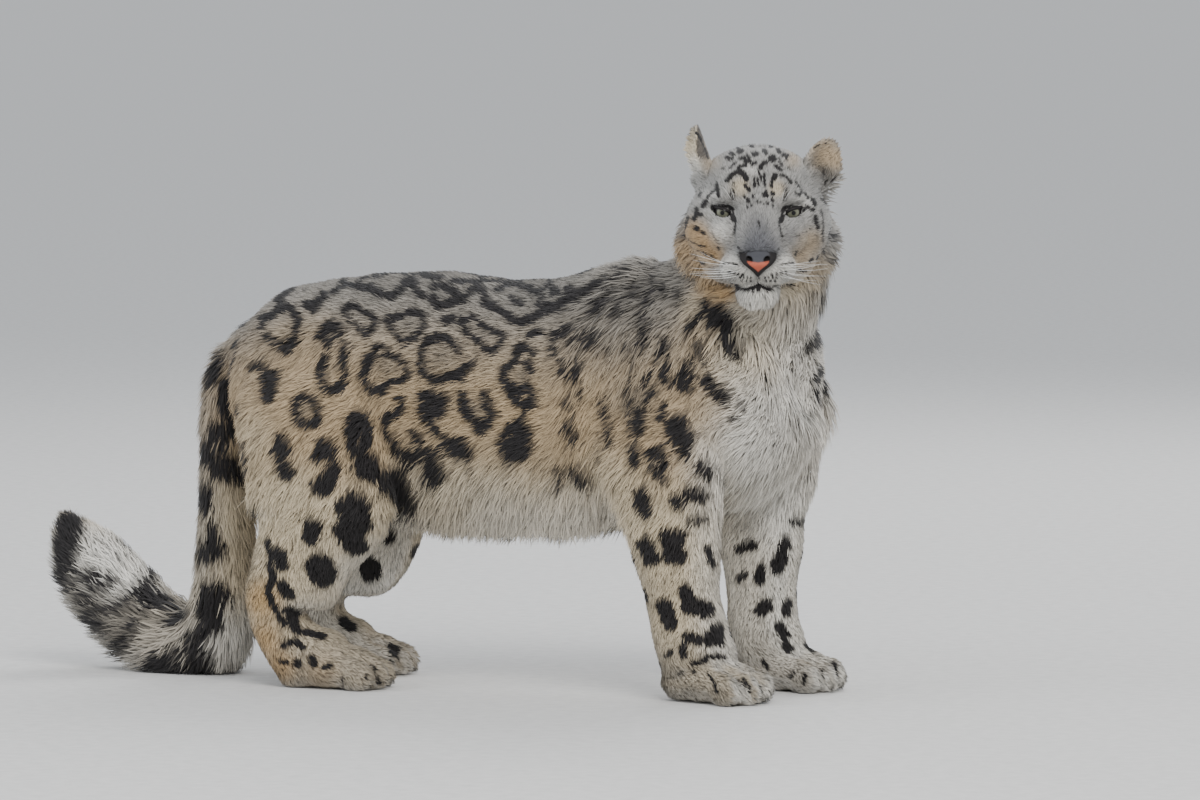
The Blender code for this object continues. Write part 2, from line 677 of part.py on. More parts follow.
def leg_outline(rows, centre, radii, side, grow):
    """What belongs to a leg: a round outline over the hip or shoulder and a box below it."""
    inner = side * (LEG_INNER_SIDE - grow)
    outer = side * LEG_OUTER_SIDE
    bm = bmesh.new()
    bmesh.ops.create_cone(bm, cap_ends=True, segments=40, radius1=1.0, radius2=1.0, depth=1.0)
    turn = Matrix.Rotation(math.pi / 2, 4, "X")
    size = Matrix.Diagonal((radii[0] + grow, abs(outer - inner), radii[1] + grow, 1.0))
    middle = Vector((centre[0], (inner + outer) / 2, centre[1]))
    bm.transform(Matrix.Translation(middle) @ size @ turn)
    upper = as_object("outline", finished_mesh(bm))
    bm = bmesh.new()
    bmesh.ops.create_cube(bm, size=1.0)
    inner = side * (LEG_BOX_INNER_SIDE - grow)
    low = -0.10
    top = LEG_BOX_TOP + grow
    shin = [row for row in rows if row[2] < LEG_BOX_TOP]
    front = max(row[0] + row[4] for row in shin) + LEG_BOX_MARGIN + grow
    back = min(row[0] - row[5] for row in shin) - LEG_BOX_MARGIN - grow
    size = Matrix.Diagonal((front - back, abs(outer - inner), top - low, 1.0))
    middle = Vector(((front + back) / 2, (inner + outer) / 2, (top + low) / 2))
    bm.transform(Matrix.Translation(middle) @ size)
    box = as_object("box", finished_mesh(bm))
    combine(upper, box, "UNION")
    remove(box)
    return upper


def paw_shapes(centre, heading, size):
    """The ball of the foot, the instep and four toes, in the pose's frame."""
    place = Matrix.Translation((*centre, 0.0)) @ Matrix.Rotation(math.radians(heading), 4, "Z")
    place = place @ Matrix.Diagonal((size, size, size, 1.0))
    shapes = [ball(*PAW_BALL), ball(*PAW_INSTEP)]
    for forward, left in TOE_PLACES:
        spread = math.degrees(math.atan2(left, 0.16))
        shapes.append(ball((forward, left, TOE_HEIGHT), TOE_RADII, (0.0, 12.0, spread)))
    for shape in shapes:
        shape.transform(place)
    return shapes


def leg_nodes(name, trunk):
    """Cuts a leg off the trunk and gives its upper part, lower part and paw."""
    rows, low_row, paw, heading, size, centre, radii, elbow, wrist = LEGS[name]
    side = LEFT if name.endswith("left") else RIGHT
    inside = leg_outline(rows, centre, radii, side, 0.0)
    upper = copied(trunk, name + "_upper")
    combine(upper, inside, "INTERSECT")
    outside = leg_outline(rows, centre, radii, side, GAP)
    combine(trunk, outside, "DIFFERENCE")
    remove(inside, outside)
    keep_largest(upper)
    keep_largest(trunk)
    remove(sliced(upper, "spare", (0, 0, elbow), (0, 0, -1)))

    shapes = [loft(rows[low_row:], 24, 20)] + paw_shapes(paw, heading, size)
    lower = fused(name + "_lower", shapes, PAW_VOXEL, 5, 520)
    remove(sliced(lower, "spare", (0, 0, elbow), (0, 0, 1)))
    floor = half_space((0, 0, 0), (0, 0, 1))
    combine(lower, floor, "INTERSECT")
    remove(floor)
    foot = sliced(lower, name.replace("leg", "paw"), (0, 0, wrist), (0, 0, -1))
    return [upper, lower, foot]


def head_frame():
    forward = Vector((math.cos(FACE_HEADING), math.sin(FACE_HEADING), 0.0)) * math.cos(FACE_PITCH)
    forward.z = -math.sin(FACE_PITCH)
    left = Vector((-math.sin(FACE_HEADING), math.cos(FACE_HEADING), 0.0))
    up = forward.cross(left)
    turn = Matrix((forward, left, up)).transposed().to_4x4()
    return Matrix.Translation(EYES_AT) @ turn


def press(obj, centre, reach, shift):
    """Moves the surface near a point, fading out smoothly at its reach."""
    for vertex in obj.data.vertices:
        away = (vertex.co - Vector(centre)).length / reach
        if away < 1.0:
            vertex.co += Vector(shift) * (1 - away * away) ** 2


def mirrored(point, side):
    return Vector((point[0], point[1] * side, point[2]))


def both_sides(balls):
    """The given balls, and a twin across the middle for each that is off it."""
    shapes = []
    for centre, radii, turn in balls:
        for side in (LEFT, RIGHT) if centre[1] else (LEFT,):
            shapes.append(ball(mirrored(centre, side), radii, (0.0, 0.0, -turn * side)))
    return shapes


def eye_centre(side):
    return Vector((EYE_BACK, side * EYE_OUT, 0.0))


def eye_opening(side):
    """The almond between the lids, as a prism that reaches from the eye outwards."""
    bm = bmesh.new()
    bmesh.ops.create_cone(bm, cap_ends=True, segments=14, radius1=1.0, radius2=1.0, depth=1.0)
    for vertex in bm.verts:
        across, height = vertex.co.x, vertex.co.y
        lift = 0.72 if height > 0 else 1.0
        vertex.co.x = across * LID_WIDTH / 2
        vertex.co.y = height * lift * (1 - 0.25 * across * across) * LID_HEIGHT * 0.58
        vertex.co.z = vertex.co.z * 0.03 + 0.019
    look = Matrix(((0, 0, 1), (1, 0, 0), (0, 1, 0))).to_4x4()
    slant = Matrix.Rotation(side * EYE_SLANT, 4, "X")
    turn = Matrix.Rotation(side * EYE_TURN, 4, "Z")
    bm.transform(Matrix.Translation(eye_centre(side)) @ turn @ slant @ look)
    return as_object("opening", finished_mesh(bm))


def groove(head, places, width):
    """Carves a narrow line into the face through places left and up on it."""
    tree = BVHTree.FromObject(head, bpy.context.evaluated_depsgraph_get())
    points = []
    for left, up in places:
        hit = tree.ray_cast(Vector((0.20, left, up)), Vector((-1, 0, 0)))[0]
        points.append(hit)
    curve = bpy.data.curves.new("line", "CURVE")
    curve.dimensions = "3D"
    curve.bevel_depth = width / 2
    curve.bevel_resolution = 0
    curve.use_fill_caps = True
    spline = curve.splines.new("POLY")
    spline.points.add(len(points) - 1)
    for knot, point in zip(spline.points, points):
        knot.co = (*point, 1.0)
    line = as_object("line", curve)
    mesh = bpy.data.meshes.new_from_object(line.evaluated_get(bpy.context.evaluated_depsgraph_get()))
    remove(line)
    bm = bmesh.new()
    bm.from_mesh(mesh)
    bmesh.ops.remove_doubles(bm, verts=bm.verts, dist=1e-6)
    cutter = as_object("line", finished_mesh(bm))
    combine(head, cutter, "DIFFERENCE")
    remove(cutter)


def ear(name, head):
    """A rounded cup, rooted in the skull and cut clear of its surface."""
    base, up, facing = (Vector(v) for v in EARS[name])
    up.normalize()
    facing = (facing - up * facing.dot(up)).normalized()
    across = up.cross(facing)
    bm = bmesh.new()
    bmesh.ops.create_grid(bm, x_segments=6, y_segments=7, size=1.0)
    for vertex in bm.verts:
        u = vertex.co.x
        v = -EAR_ROOT + (0.985 + EAR_ROOT) * (vertex.co.y + 1) / 2
        narrow = (1 - max(v, 0.0) ** 2.6) ** 0.5 * (0.56 + 0.44 * min(1.0, (v + EAR_ROOT) / 0.85))
        fold = EAR_CUP * (u * u - 0.45) * (1.15 - 0.55 * max(v, 0.0))
        vertex.co = base + across * (u * narrow * EAR_HALF_WIDTH) + up * (v * EAR_HEIGHT) + facing * fold
    bmesh.ops.triangulate(bm, faces=bm.faces)
    made = as_object(name, finished_mesh(bm))
    thick = made.modifiers.new("thick", "SOLIDIFY")
    thick.thickness = EAR_THICKNESS
    thick.offset = 0.0
    apply_modifiers(made)
    clear = grown(head, GAP)
    combine(made, clear, "DIFFERENCE")
    remove(clear)
    return keep_largest(made)


def head_nodes():
    skull = fused("skull", both_sides(SKULL_BALLS), HEAD_VOXEL, 40)
    shapes = both_sides(FACE_BALLS) + [loft(NOSE_BRIDGE, 16, 20, 2.6), skull.data]
    head = fused("head", shapes, HEAD_VOXEL, 10)
    remove(skull)
    for centre, reach, shift in FACE_PRESSES:
        for side in (LEFT, RIGHT):
            press(head, mirrored(centre, side), reach, mirrored(shift, side))
    for side in (LEFT, RIGHT):
        lid = as_object("lid", ball(eye_centre(side), (EYE_RADIUS + LID_THICKNESS,) * 3))
        combine(head, lid, "UNION")
        remove(lid)
    head = fused("head_skin", [head.data], HEAD_VOXEL * 0.8, 2, 1200)
    remove(bpy.data.objects["head"])
    head.name = "head"
    with_locks(head, head_locks(surface_of(head), random.Random(7)), 1700)
    ears = [ear(name, head) for name in EARS]
    eyes = []
    for name, side in (("eye_left", LEFT), ("eye_right", RIGHT)):
        socket = as_object("socket", ball(eye_centre(side), (EYE_RADIUS + 2 * GAP,) * 3, segments=12))
        opening = eye_opening(side)
        combine(head, socket, "DIFFERENCE")
        combine(head, opening, "DIFFERENCE")
        remove(socket, opening)
        eyes.append(as_object(name, ball(eye_centre(side), (EYE_RADIUS,) * 3, segments=12)))
    leather = as_object("nose", loft(NOSE_LEATHER, 8, 10))
    notch = grown(leather, GAP)
    combine(head, notch, "DIFFERENCE")
    remove(notch)
    for side in (LEFT, RIGHT):
        pit = as_object("pit", ball(mirrored(NOSTRIL_AT, side), NOSTRIL_RADII, (25.0 * side, 20.0, 20.0 * side), 8))
        combine(leather, pit, "DIFFERENCE")
        remove(pit)
    groove(head, [(-left, up) for left, up in MOUTH_LINE[:0:-1]] + list(MOUTH_LINE), MOUTH_WIDTH)
    groove(head, PHILTRUM, MOUTH_WIDTH * 0.7)
    nodes = [head, leather] + eyes + ears
    for node in nodes:
        keep_largest(node)
        node.data.transform(head_frame())
    return nodes


def head_box(gap):
    """What belongs to the head, as a box in its own frame."""
    low, high = HEAD_BOX
    low, high = Vector(low) - Vector((gap,) * 3), Vector(high) + Vector((gap,) * 3)
    bm = bmesh.new()
    bmesh.ops.create_cube(bm, size=1.0)
    bm.transform(Matrix.Translation((low + high) / 2) @ Matrix.Diagonal((*(high - low), 1.0)))
    bm.transform(head_frame())
    return as_object("head_box", finished_mesh(bm))


def part_head(head, trunk):
    """Joins the head to the neck, and parts them again behind the cheeks and below the jaw."""
    combine(trunk, head, "UNION")
    inside, outside = head_box(0.0), head_box(GAP)
    head.data = trunk.data.copy()
    combine(head, inside, "INTERSECT")
    combine(trunk, outside, "DIFFERENCE")
    remove(inside, outside)
    keep_largest(head)
    keep_largest(trunk)


def tail_nodes(clear):
    """The tail in lengths, laid down to the floor and cut clear of the body."""
    rows = [(x, y, z, *(r * CORE_SHARE,) * 3) for x, y, z, r in TAIL]
    tail = as_object("tail", loft(rows, 34, 10, 2.0))
    with_locks(tail, tail_locks(random.Random(5)), 1750)
    floor = half_space((0, 0, 0), (0, 0, 1))
    combine(tail, floor, "INTERSECT")
    combine(tail, clear, "DIFFERENCE")
    remove(floor)
    keep_largest(tail)
    route = smooth_rows(TAIL, 200)[:, :3]
    first = 24
    for k in range(1, TAIL_LENGTHS):
        at = first + (len(route) - first) * k // TAIL_LENGTHS
        along = Vector(route[at + 1] - route[at - 1]).to_track_quat("Z", "Y").to_matrix().to_4x4()
        bm = bmesh.new()
        bmesh.ops.create_cone(bm, cap_ends=True, segments=24, radius1=TAIL_CUT, radius2=TAIL_CUT, depth=GAP)
        bm.transform(Matrix.Translation(Vector(route[at])) @ along)
        disc = as_object("disc", finished_mesh(bm))
        combine(tail, disc, "DIFFERENCE")
        remove(disc)
    return loose_pieces(tail, "tail", route, TAIL_LENGTHS)


def loose_pieces(obj, name, route, count):
    """Makes each of the largest closed pieces an object, numbered along a route."""
    bm = bmesh.new()
    bm.from_mesh(obj.data)
    pieces = [{face.index for face in found} for found in loose_sets(bm)[-count:]]
    bm.free()

    def place(piece):
        middle = sum((obj.data.polygons[i].center for i in piece), Vector()) / len(piece)
        return int(np.argmin(np.linalg.norm(route - np.array(middle), axis=1)))

    nodes = []
    for number, piece in enumerate(sorted(pieces, key=place), 1):
        bm = bmesh.new()
        bm.from_mesh(obj.data)
        spare = [face for face in bm.faces if face.index not in piece]
        bmesh.ops.delete(bm, geom=spare, context="FACES")
        nodes.append(as_object(f"{name}_{number}", finished_mesh(bm)))
    remove(obj)
    return nodes


def look(name):
    """Colour and roughness of a node."""
    for start, colour, roughness in LOOKS:
        if name.startswith(start):
            return colour, roughness
    return FUR_COLOUR, FUR_ROUGHNESS


def main():
    for obj in list(bpy.data.objects):
        bpy.data.objects.remove(obj, do_unlink=True)
    for name in ("cutters", "snow_leopard"):
        bpy.context.scene.collection.children.link(bpy.data.collections.new(name))
    model = bpy.data.collections["snow_leopard"]

    flesh = [loft(TRUNK, 60, 36), loft(NECK, 24, 32), ball(*BREAST, segments=32)]
    for rows, *_ in LEGS.values():
        flesh.append(loft(rows, 30, 24))
    trunk = fused("trunk", flesh, FLESH_VOXEL, 12, 1700)
    surface = surface_of(trunk)
    chance = random.Random(11)
    coat = belly_locks(surface, chance) + chest_locks(surface, chance)
    coat += ruff_locks(surface, chance) + leg_locks(surface, chance)
    with_locks(trunk, coat, 4250)
    body_clear = grown(trunk, GAP)
    nodes = tail_nodes(body_clear)
    remove(body_clear)
    for name in LEGS:
        nodes += leg_nodes(name, trunk)
    head_pieces = head_nodes()
    part_head(head_pieces[0], trunk)
    neck = sliced(trunk, "neck", *NECK_PLANE)
    chest = sliced(trunk, "chest", *BREAST_PLANE)
    rump = sliced(trunk, "rump", *RUMP_PLANE)
    trunk.name = "belly"
    nodes += head_pieces + [neck, chest, trunk, rump]
    for node in nodes:
        node.data.transform(Matrix.Translation(REST_SHIFT))
        tidied(node)
        node.data.materials.clear()
        node.data.materials.append(material(node.name, *look(node.name)))
        node.hide_render = False
        node.display_type = "TEXTURED"
        bpy.data.collections["cutters"].objects.unlink(node)
        model.objects.link(node)


main()
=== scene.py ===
"""The snow leopard dressed: skin, coat, eyes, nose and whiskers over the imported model.

The shapes are set out in the pose's own frame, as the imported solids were, and each
finished piece is moved by REST_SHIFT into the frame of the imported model.
"""

import math
import random
import time

import bmesh
import bpy
import numpy as np
from mathutils import Matrix, Vector
from mathutils.bvhtree import BVHTree
from mathutils.kdtree import KDTree
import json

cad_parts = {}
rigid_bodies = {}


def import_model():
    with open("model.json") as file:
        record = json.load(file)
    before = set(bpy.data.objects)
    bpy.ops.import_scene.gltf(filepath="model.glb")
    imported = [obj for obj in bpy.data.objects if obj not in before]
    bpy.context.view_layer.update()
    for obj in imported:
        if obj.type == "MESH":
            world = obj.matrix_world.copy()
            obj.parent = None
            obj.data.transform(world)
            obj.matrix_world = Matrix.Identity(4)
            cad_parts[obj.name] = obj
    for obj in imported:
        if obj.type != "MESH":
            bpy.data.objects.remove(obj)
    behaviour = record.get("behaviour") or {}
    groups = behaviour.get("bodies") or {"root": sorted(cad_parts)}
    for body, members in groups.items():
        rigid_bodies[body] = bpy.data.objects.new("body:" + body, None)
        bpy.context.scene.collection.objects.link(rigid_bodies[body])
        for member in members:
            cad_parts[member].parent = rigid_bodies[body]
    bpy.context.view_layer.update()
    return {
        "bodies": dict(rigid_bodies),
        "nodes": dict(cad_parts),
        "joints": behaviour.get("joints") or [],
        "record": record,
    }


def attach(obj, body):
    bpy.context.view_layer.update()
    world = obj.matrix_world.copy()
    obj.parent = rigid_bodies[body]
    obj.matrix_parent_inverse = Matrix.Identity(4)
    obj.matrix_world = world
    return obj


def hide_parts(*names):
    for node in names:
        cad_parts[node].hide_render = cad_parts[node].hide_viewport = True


REST_SHIFT = Vector((0.2206, 0.0232, 0.0))
LEFT, RIGHT = 1, -1

# Head: its frame has +X out of the face, +Y the animal's left, origin between the eyes
EYES_AT = Vector((0.267, -0.148, 0.631))
FACE_HEADING = math.radians(-71.0)
FACE_PITCH = math.radians(5.5)
EYE_RADIUS = 0.0138
EYE_OUT = 0.0427
EYE_BACK = -0.004
EYE_TURN = math.radians(10.0)
EYE_SLANT = math.radians(19.0)
LID_THICKNESS = 0.0026
LID_WIDTH = 0.030
LID_HEIGHT = 0.0125

# Camera: where it looks, its heading and height angle, distance, and the lens on a 36 mm sensor
LOOK_AT = Vector((0.0, 0.0, 0.378))
CAMERA_HEADING = math.radians(20.0)
CAMERA_DROP = math.radians(3.5)
CAMERA_FAR = 9.0
LENS = 207.1
PHOTO_SIZE = (1200, 800)

BODY_VOXEL = 0.0055
HEAD_VOXEL = 0.0020
EAR_VOXEL = 0.0016

LIGHTS = (
    ("key", (3.2, -4.2, 4.6), 3.0, 330.0, (1.0, 0.985, 0.96)),
    ("fill", (-4.5, -3.5, 2.4), 3.5, 130.0, (0.92, 0.96, 1.0)),
    ("back", (0.5, 4.5, 4.0), 3.0, 150.0, (1.0, 1.0, 1.0)),
)
# Coat: share of the full count of tufts, shade at the root, how far tufts lean together, and
# the length in metres from which a tuft has two bends
COAT_SHARE = 1.2
ROOT_SHADE = 0.58
TONE_SPREAD = 0.15
DARK_HAIRS = 0.18
CLUMPING = 0.26
# Share of the depth of the coat at which its marks are seen
COAT_SURFACE = 0.75
ZONE_DEPTH = 0.055
COAT_KINDS = {"short": 0.0245, "middle": 0.040, "long": 1.0}
TUFTS_PER_PIECE = {"short": 48000, "middle": 32000, "long": 16000}
UV_PATCH = 0.003
NOSE_SUNK = 0.0078
RIM_SIZE = 0.0013
# Whiskers: height of each row on the muzzle and length
WHISKER_ROWS = ((-0.062, 0.050), (-0.068, 0.056), (-0.074, 0.052))

# Trunk, from rump to breast: centre x, y, z, half width, rise above it, drop below it
TRUNK = (
    (-0.507, 0.000, 0.410, 0.030, 0.030, 0.035),
    (-0.492, 0.000, 0.410, 0.070, 0.068, 0.080),
    (-0.450, 0.000, 0.405, 0.106, 0.112, 0.130),
    (-0.390, 0.003, 0.398, 0.126, 0.133, 0.145),
    (-0.310, 0.010, 0.390, 0.132, 0.151, 0.152),
    (-0.220, 0.016, 0.383, 0.133, 0.160, 0.166),
    (-0.130, 0.018, 0.377, 0.134, 0.157, 0.166),
    (-0.040, 0.014, 0.377, 0.135, 0.163, 0.162),
    (0.040, 0.004, 0.382, 0.132, 0.176, 0.156),
    (0.110, -0.004, 0.387, 0.127, 0.180, 0.150),
    (0.180, -0.008, 0.390, 0.124, 0.160, 0.142),
    (0.235, -0.012, 0.390, 0.110, 0.132, 0.120),
    (0.272, -0.015, 0.392, 0.078, 0.094, 0.082),
    (0.286, -0.017, 0.394, 0.036, 0.048, 0.038),
)
# Neck, from inside the shoulders to inside the skull: side, nape and throat radii
NECK = (
    (0.050, 0.000, 0.420, 0.112, 0.098, 0.110),
    (0.112, 0.004, 0.460, 0.114, 0.100, 0.120),
    (0.168, 0.006, 0.505, 0.108, 0.094, 0.112),
    (0.206, -0.006, 0.553, 0.096, 0.082, 0.102),
    (0.228, -0.036, 0.600, 0.086, 0.070, 0.088),
    (0.240, -0.064, 0.632, 0.070, 0.058, 0.070),
)
# Breast: centre and radii of the deep chest between the shoulders
BREAST = (
    (0.190, 0.028, 0.428),
    (0.106, 0.118, 0.128),
)
# Tail: centre x, y, z and radius
TAIL = (
    (-0.440, 0.000, 0.445, 0.036),
    (-0.485, 0.000, 0.437, 0.038),
    (-0.515, 0.000, 0.400, 0.037),
    (-0.526, 0.002, 0.350, 0.037),
    (-0.529, 0.004, 0.290, 0.037),
    (-0.532, 0.008, 0.225, 0.038),
    (-0.535, 0.011, 0.160, 0.041),
    (-0.540, 0.015, 0.102, 0.046),
    (-0.560, 0.021, 0.054, 0.052),
    (-0.600, 0.029, 0.043, 0.055),
    (-0.643, 0.035, 0.053, 0.057),
    (-0.684, 0.038, 0.080, 0.057),
    (-0.719, 0.040, 0.114, 0.054),
    (-0.749, 0.040, 0.147, 0.044),
    (-0.770, 0.040, 0.178, 0.027),
    (-0.779, 0.040, 0.196, 0.010),
)

# Legs, from inside the trunk to the wrist or heel: centre, side, fore and aft radii
NEAR_FORELEG = (
    (0.075, -0.070, 0.470, 0.042, 0.070, 0.075),
    (0.105, -0.086, 0.385, 0.052, 0.096, 0.098),
    (0.125, -0.094, 0.305, 0.055, 0.086, 0.086),
    (0.134, -0.098, 0.240, 0.053, 0.068, 0.066),
    (0.143, -0.100, 0.185, 0.048, 0.056, 0.056),
    (0.150, -0.100, 0.135, 0.044, 0.048, 0.049),
    (0.160, -0.100, 0.090, 0.045, 0.049, 0.050),
    (0.172, -0.100, 0.050, 0.046, 0.052, 0.050),
)
FAR_FORELEG = (
    (0.125, 0.076, 0.470, 0.046, 0.075, 0.080),
    (0.178, 0.092, 0.385, 0.056, 0.104, 0.104),
    (0.190, 0.090, 0.305, 0.056, 0.084, 0.090),
    (0.188, 0.086, 0.240, 0.052, 0.068, 0.066),
    (0.194, 0.082, 0.185, 0.047, 0.056, 0.055),
    (0.196, 0.080, 0.135, 0.043, 0.047, 0.047),
    (0.198, 0.079, 0.090, 0.044, 0.047, 0.047),
    (0.208, 0.078, 0.050, 0.045, 0.050, 0.048),
)
NEAR_HINDLEG = (
    (-0.385, -0.062, 0.440, 0.045, 0.085, 0.080),
    (-0.374, -0.084, 0.370, 0.058, 0.110, 0.100),
    (-0.356, -0.098, 0.300, 0.060, 0.108, 0.104),
    (-0.344, -0.104, 0.240, 0.054, 0.094, 0.111),
    (-0.364, -0.106, 0.190, 0.046, 0.070, 0.090),
    (-0.392, -0.106, 0.150, 0.042, 0.074, 0.058),
    (-0.410, -0.105, 0.115, 0.038, 0.042, 0.046),
    (-0.406, -0.103, 0.080, 0.037, 0.038, 0.040),
    (-0.384, -0.102, 0.044, 0.039, 0.044, 0.041),
    (-0.376, -0.101, 0.016, 0.034, 0.036, 0.034),
)
FAR_HINDLEG = (
    (-0.400, 0.064, 0.440, 0.045, 0.085, 0.070),
    (-0.390, 0.086, 0.370, 0.058, 0.108, 0.094),
    (-0.376, 0.096, 0.300, 0.060, 0.102, 0.098),
    (-0.366, 0.098, 0.240, 0.054, 0.088, 0.088),
    (-0.386, 0.096, 0.190, 0.048, 0.092, 0.068),
    (-0.412, 0.092, 0.150, 0.042, 0.082, 0.056),
    (-0.430, 0.089, 0.115, 0.038, 0.042, 0.044),
    (-0.432, 0.086, 0.080, 0.037, 0.036, 0.040),
    (-0.416, 0.084, 0.044, 0.039, 0.042, 0.041),
    (-0.408, 0.083, 0.016, 0.034, 0.036, 0.034),
)
# Each leg: its rows, paw centre, heading in degrees and paw size
LEGS = {
    "foreleg_right": (NEAR_FORELEG, (0.196, -0.104), -16.0, 1.00),
    "foreleg_left": (FAR_FORELEG, (0.234, 0.076), -6.0, 1.00),
    "hindleg_right": (NEAR_HINDLEG, (-0.330, -0.101), 2.0, 1.00),
    "hindleg_left": (FAR_HINDLEG, (-0.368, 0.082), 4.0, 0.98),
}
# Head: centre forward, left, up, then radii and a turn about Z; one off the middle is on both sides
SKULL_BALLS = (
    ((-0.066, 0.000, 0.020), (0.068, 0.078, 0.060), 0.0),
    ((-0.034, 0.020, 0.028), (0.046, 0.050, 0.052), 0.0),
    ((-0.036, 0.050, -0.020), (0.048, 0.044, 0.050), -12.0),
    ((-0.030, 0.034, -0.060), (0.044, 0.042, 0.038), -8.0),
    ((-0.002, 0.000, -0.036), (0.046, 0.046, 0.042), 0.0),
    ((-0.070, 0.000, -0.040), (0.062, 0.074, 0.060), 0.0),
    ((-0.062, 0.062, 0.036), (0.026, 0.026, 0.026), 0.0),
    ((-0.076, 0.050, -0.040), (0.038, 0.049, 0.052), 0.0),
)
FACE_BALLS = (
    ((-0.024, 0.000, -0.080), (0.054, 0.037, 0.026), 0.0),
    ((-0.010, 0.024, 0.024), (0.028, 0.032, 0.036), 0.0),
    ((0.005, 0.033, -0.030), (0.027, 0.029, 0.034), -20.0),
    ((0.026, 0.000, -0.054), (0.034, 0.034, 0.028), 0.0),
    ((0.030, 0.0235, -0.066), (0.027, 0.0245, 0.0210), -14.0),
    ((0.013, 0.000, -0.094), (0.031, 0.0275, 0.0180), 0.0),
    ((0.003, 0.040, 0.0170), (0.014, 0.020, 0.0085), -18.0),
)
# Bridge of the nose, from the brow to the nose leather: side, top and under radii
NOSE_BRIDGE = (
    (-0.012, 0.000, 0.018, 0.029, 0.026, 0.030),
    (0.008, 0.000, 0.000, 0.0275, 0.022, 0.030),
    (0.026, 0.000, -0.018, 0.0270, 0.021, 0.030),
    (0.043, 0.000, -0.036, 0.0255, 0.017, 0.026),
    (0.053, 0.000, -0.049, 0.0220, 0.012, 0.016),
)
# Nose leather, from top to bottom: side, front and back radii
NOSE_LEATHER = (
    (0.0560, 0.0, -0.0395, 0.0130, 0.0050, 0.010),
    (0.0585, 0.0, -0.0440, 0.0205, 0.0085, 0.013),
    (0.0600, 0.0, -0.0500, 0.0235, 0.0100, 0.014),
    (0.0595, 0.0, -0.0570, 0.0195, 0.0100, 0.014),
    (0.0570, 0.0, -0.0640, 0.0110, 0.0085, 0.012),
    (0.0545, 0.0, -0.0705, 0.0045, 0.0055, 0.009),
    (0.0530, 0.0, -0.0740, 0.0020, 0.0030, 0.006),
)
NOSTRIL_AT = (0.0665, 0.0120, -0.0525)
NOSTRIL_RADII = (0.0100, 0.0048, 0.0030)
# Hollows and swellings pressed into the face: centre, reach, shift; each is on both sides
FACE_PRESSES = (
    ((0.012, 0.036, -0.004), 0.020, (-0.0055, 0.0, 0.0)),
    ((0.010, 0.028, -0.010), 0.014, (-0.0020, 0.0, 0.0)),
    ((-0.020, 0.068, 0.030), 0.030, (0.0, -0.0050, 0.0)),
    ((0.012, 0.046, -0.052), 0.022, (-0.0040, -0.0040, 0.0)),
)
# The line of the mouth, as places left and up on the face, and the crease under the nose
MOUTH_LINE = (
    (0.0, -0.0870),
    (0.010, -0.0900),
    (0.020, -0.0900),
    (0.030, -0.0870),
    (0.038, -0.0810),
    (0.045, -0.0740),
)
PHILTRUM = ((0.0, -0.0735), (0.0, -0.0800), (0.0, -0.0865))
MOUTH_WIDTH = 0.0030
# Each ear: base, way its height points, way its cup faces
EARS = {
    "ear_right": ((-0.058, -0.072, 0.048), (-0.10, -0.24, 0.96), (0.14, -0.98, 0.05)),
    "ear_left": ((-0.055, 0.071, 0.035), (-0.12, 0.45, 0.88), (0.85, 0.50, 0.05)),
}
EAR_HEIGHT = 0.054
EAR_HALF_WIDTH = 0.029
EAR_ROOT = 0.35
EAR_CUP = 0.023
EAR_THICKNESS = 0.0042
# Paw at size 1: centre forward, left, up, then radii, of the ball, the instep and each toe
PAW_BALL = ((0.000, 0.000, 0.028), (0.058, 0.048, 0.031))
PAW_INSTEP = ((-0.024, 0.000, 0.045), (0.042, 0.043, 0.034))
PAW_HEEL = ((-0.046, 0.000, 0.025), (0.038, 0.038, 0.027))
PAW_PALM = ((-0.038, 0.000, 0.026), (0.040, 0.041, 0.028))
TOE_PLACES = ((0.036, -0.036), (0.050, -0.0135), (0.050, 0.0135), (0.036, 0.036))
TOE_RADII = (0.027, 0.0152, 0.023)
TOE_HEIGHT = 0.021
# The crease between two toes: forward from the nearer one's centre, and up, along it
CREASE = ((0.034, 0.004), (0.028, 0.024), (0.008, 0.041), (-0.016, 0.050))
CREASE_REACH = 0.0095
CREASE_DEPTH = 0.0062
# Width of the painted shade along each crease
CREASE_WIDTH = 0.0034



# ------- shapes


def smooth_rows(rows, steps):
    """Rows of numbers read at even steps along a smooth curve through the given ones."""
    rows = np.array(rows, float)
    padded = np.vstack([2 * rows[0] - rows[1], rows, 2 * rows[-1] - rows[-2]])
    found = []
    for reach in np.linspace(0, len(rows) - 1, steps):
        first = min(int(reach), len(rows) - 2)
        f = reach - first
        a, b, c, d = padded[first : first + 4]
        bend = (2 * a - 5 * b + 4 * c - d) * f * f + (3 * b - a - 3 * c + d) * f**3
        found.append(0.5 * (2 * b + (c - a) * f + bend))
    return np.array(found)


def loft(rows, steps, sides, squareness=2.2, across=(0.0, 1.0, 0.0)):
    """A closed tube through rows of centre, side radius and the two radii across it."""
    rows = smooth_rows(rows, steps)
    tangents = np.gradient(rows[:, :3], axis=0)
    bm = bmesh.new()
    rings = []
    for row, tangent in zip(rows, tangents):
        along = Vector(tangent).normalized()
        side = Vector(across)
        side = (side - along * side.dot(along)).normalized()
        front = along.cross(side)
        ring = []
        for k in range(sides):
            turn = 2 * math.pi * k / sides
            c, s = math.cos(turn), math.sin(turn)
            out = math.copysign(abs(c) ** (2 / squareness), c) * row[3]
            rise = math.copysign(abs(s) ** (2 / squareness), s) * (row[4] if s > 0 else row[5])
            ring.append(bm.verts.new(Vector(row[:3]) + side * out + front * rise))
        rings.append(ring)
    for low, high in zip(rings, rings[1:]):
        for k in range(sides):
            bm.faces.new((low[k], low[k - 1], high[k - 1], high[k]))
    bm.faces.new(rings[0])
    bm.faces.new(rings[-1][::-1])
    return finished_mesh(bm)


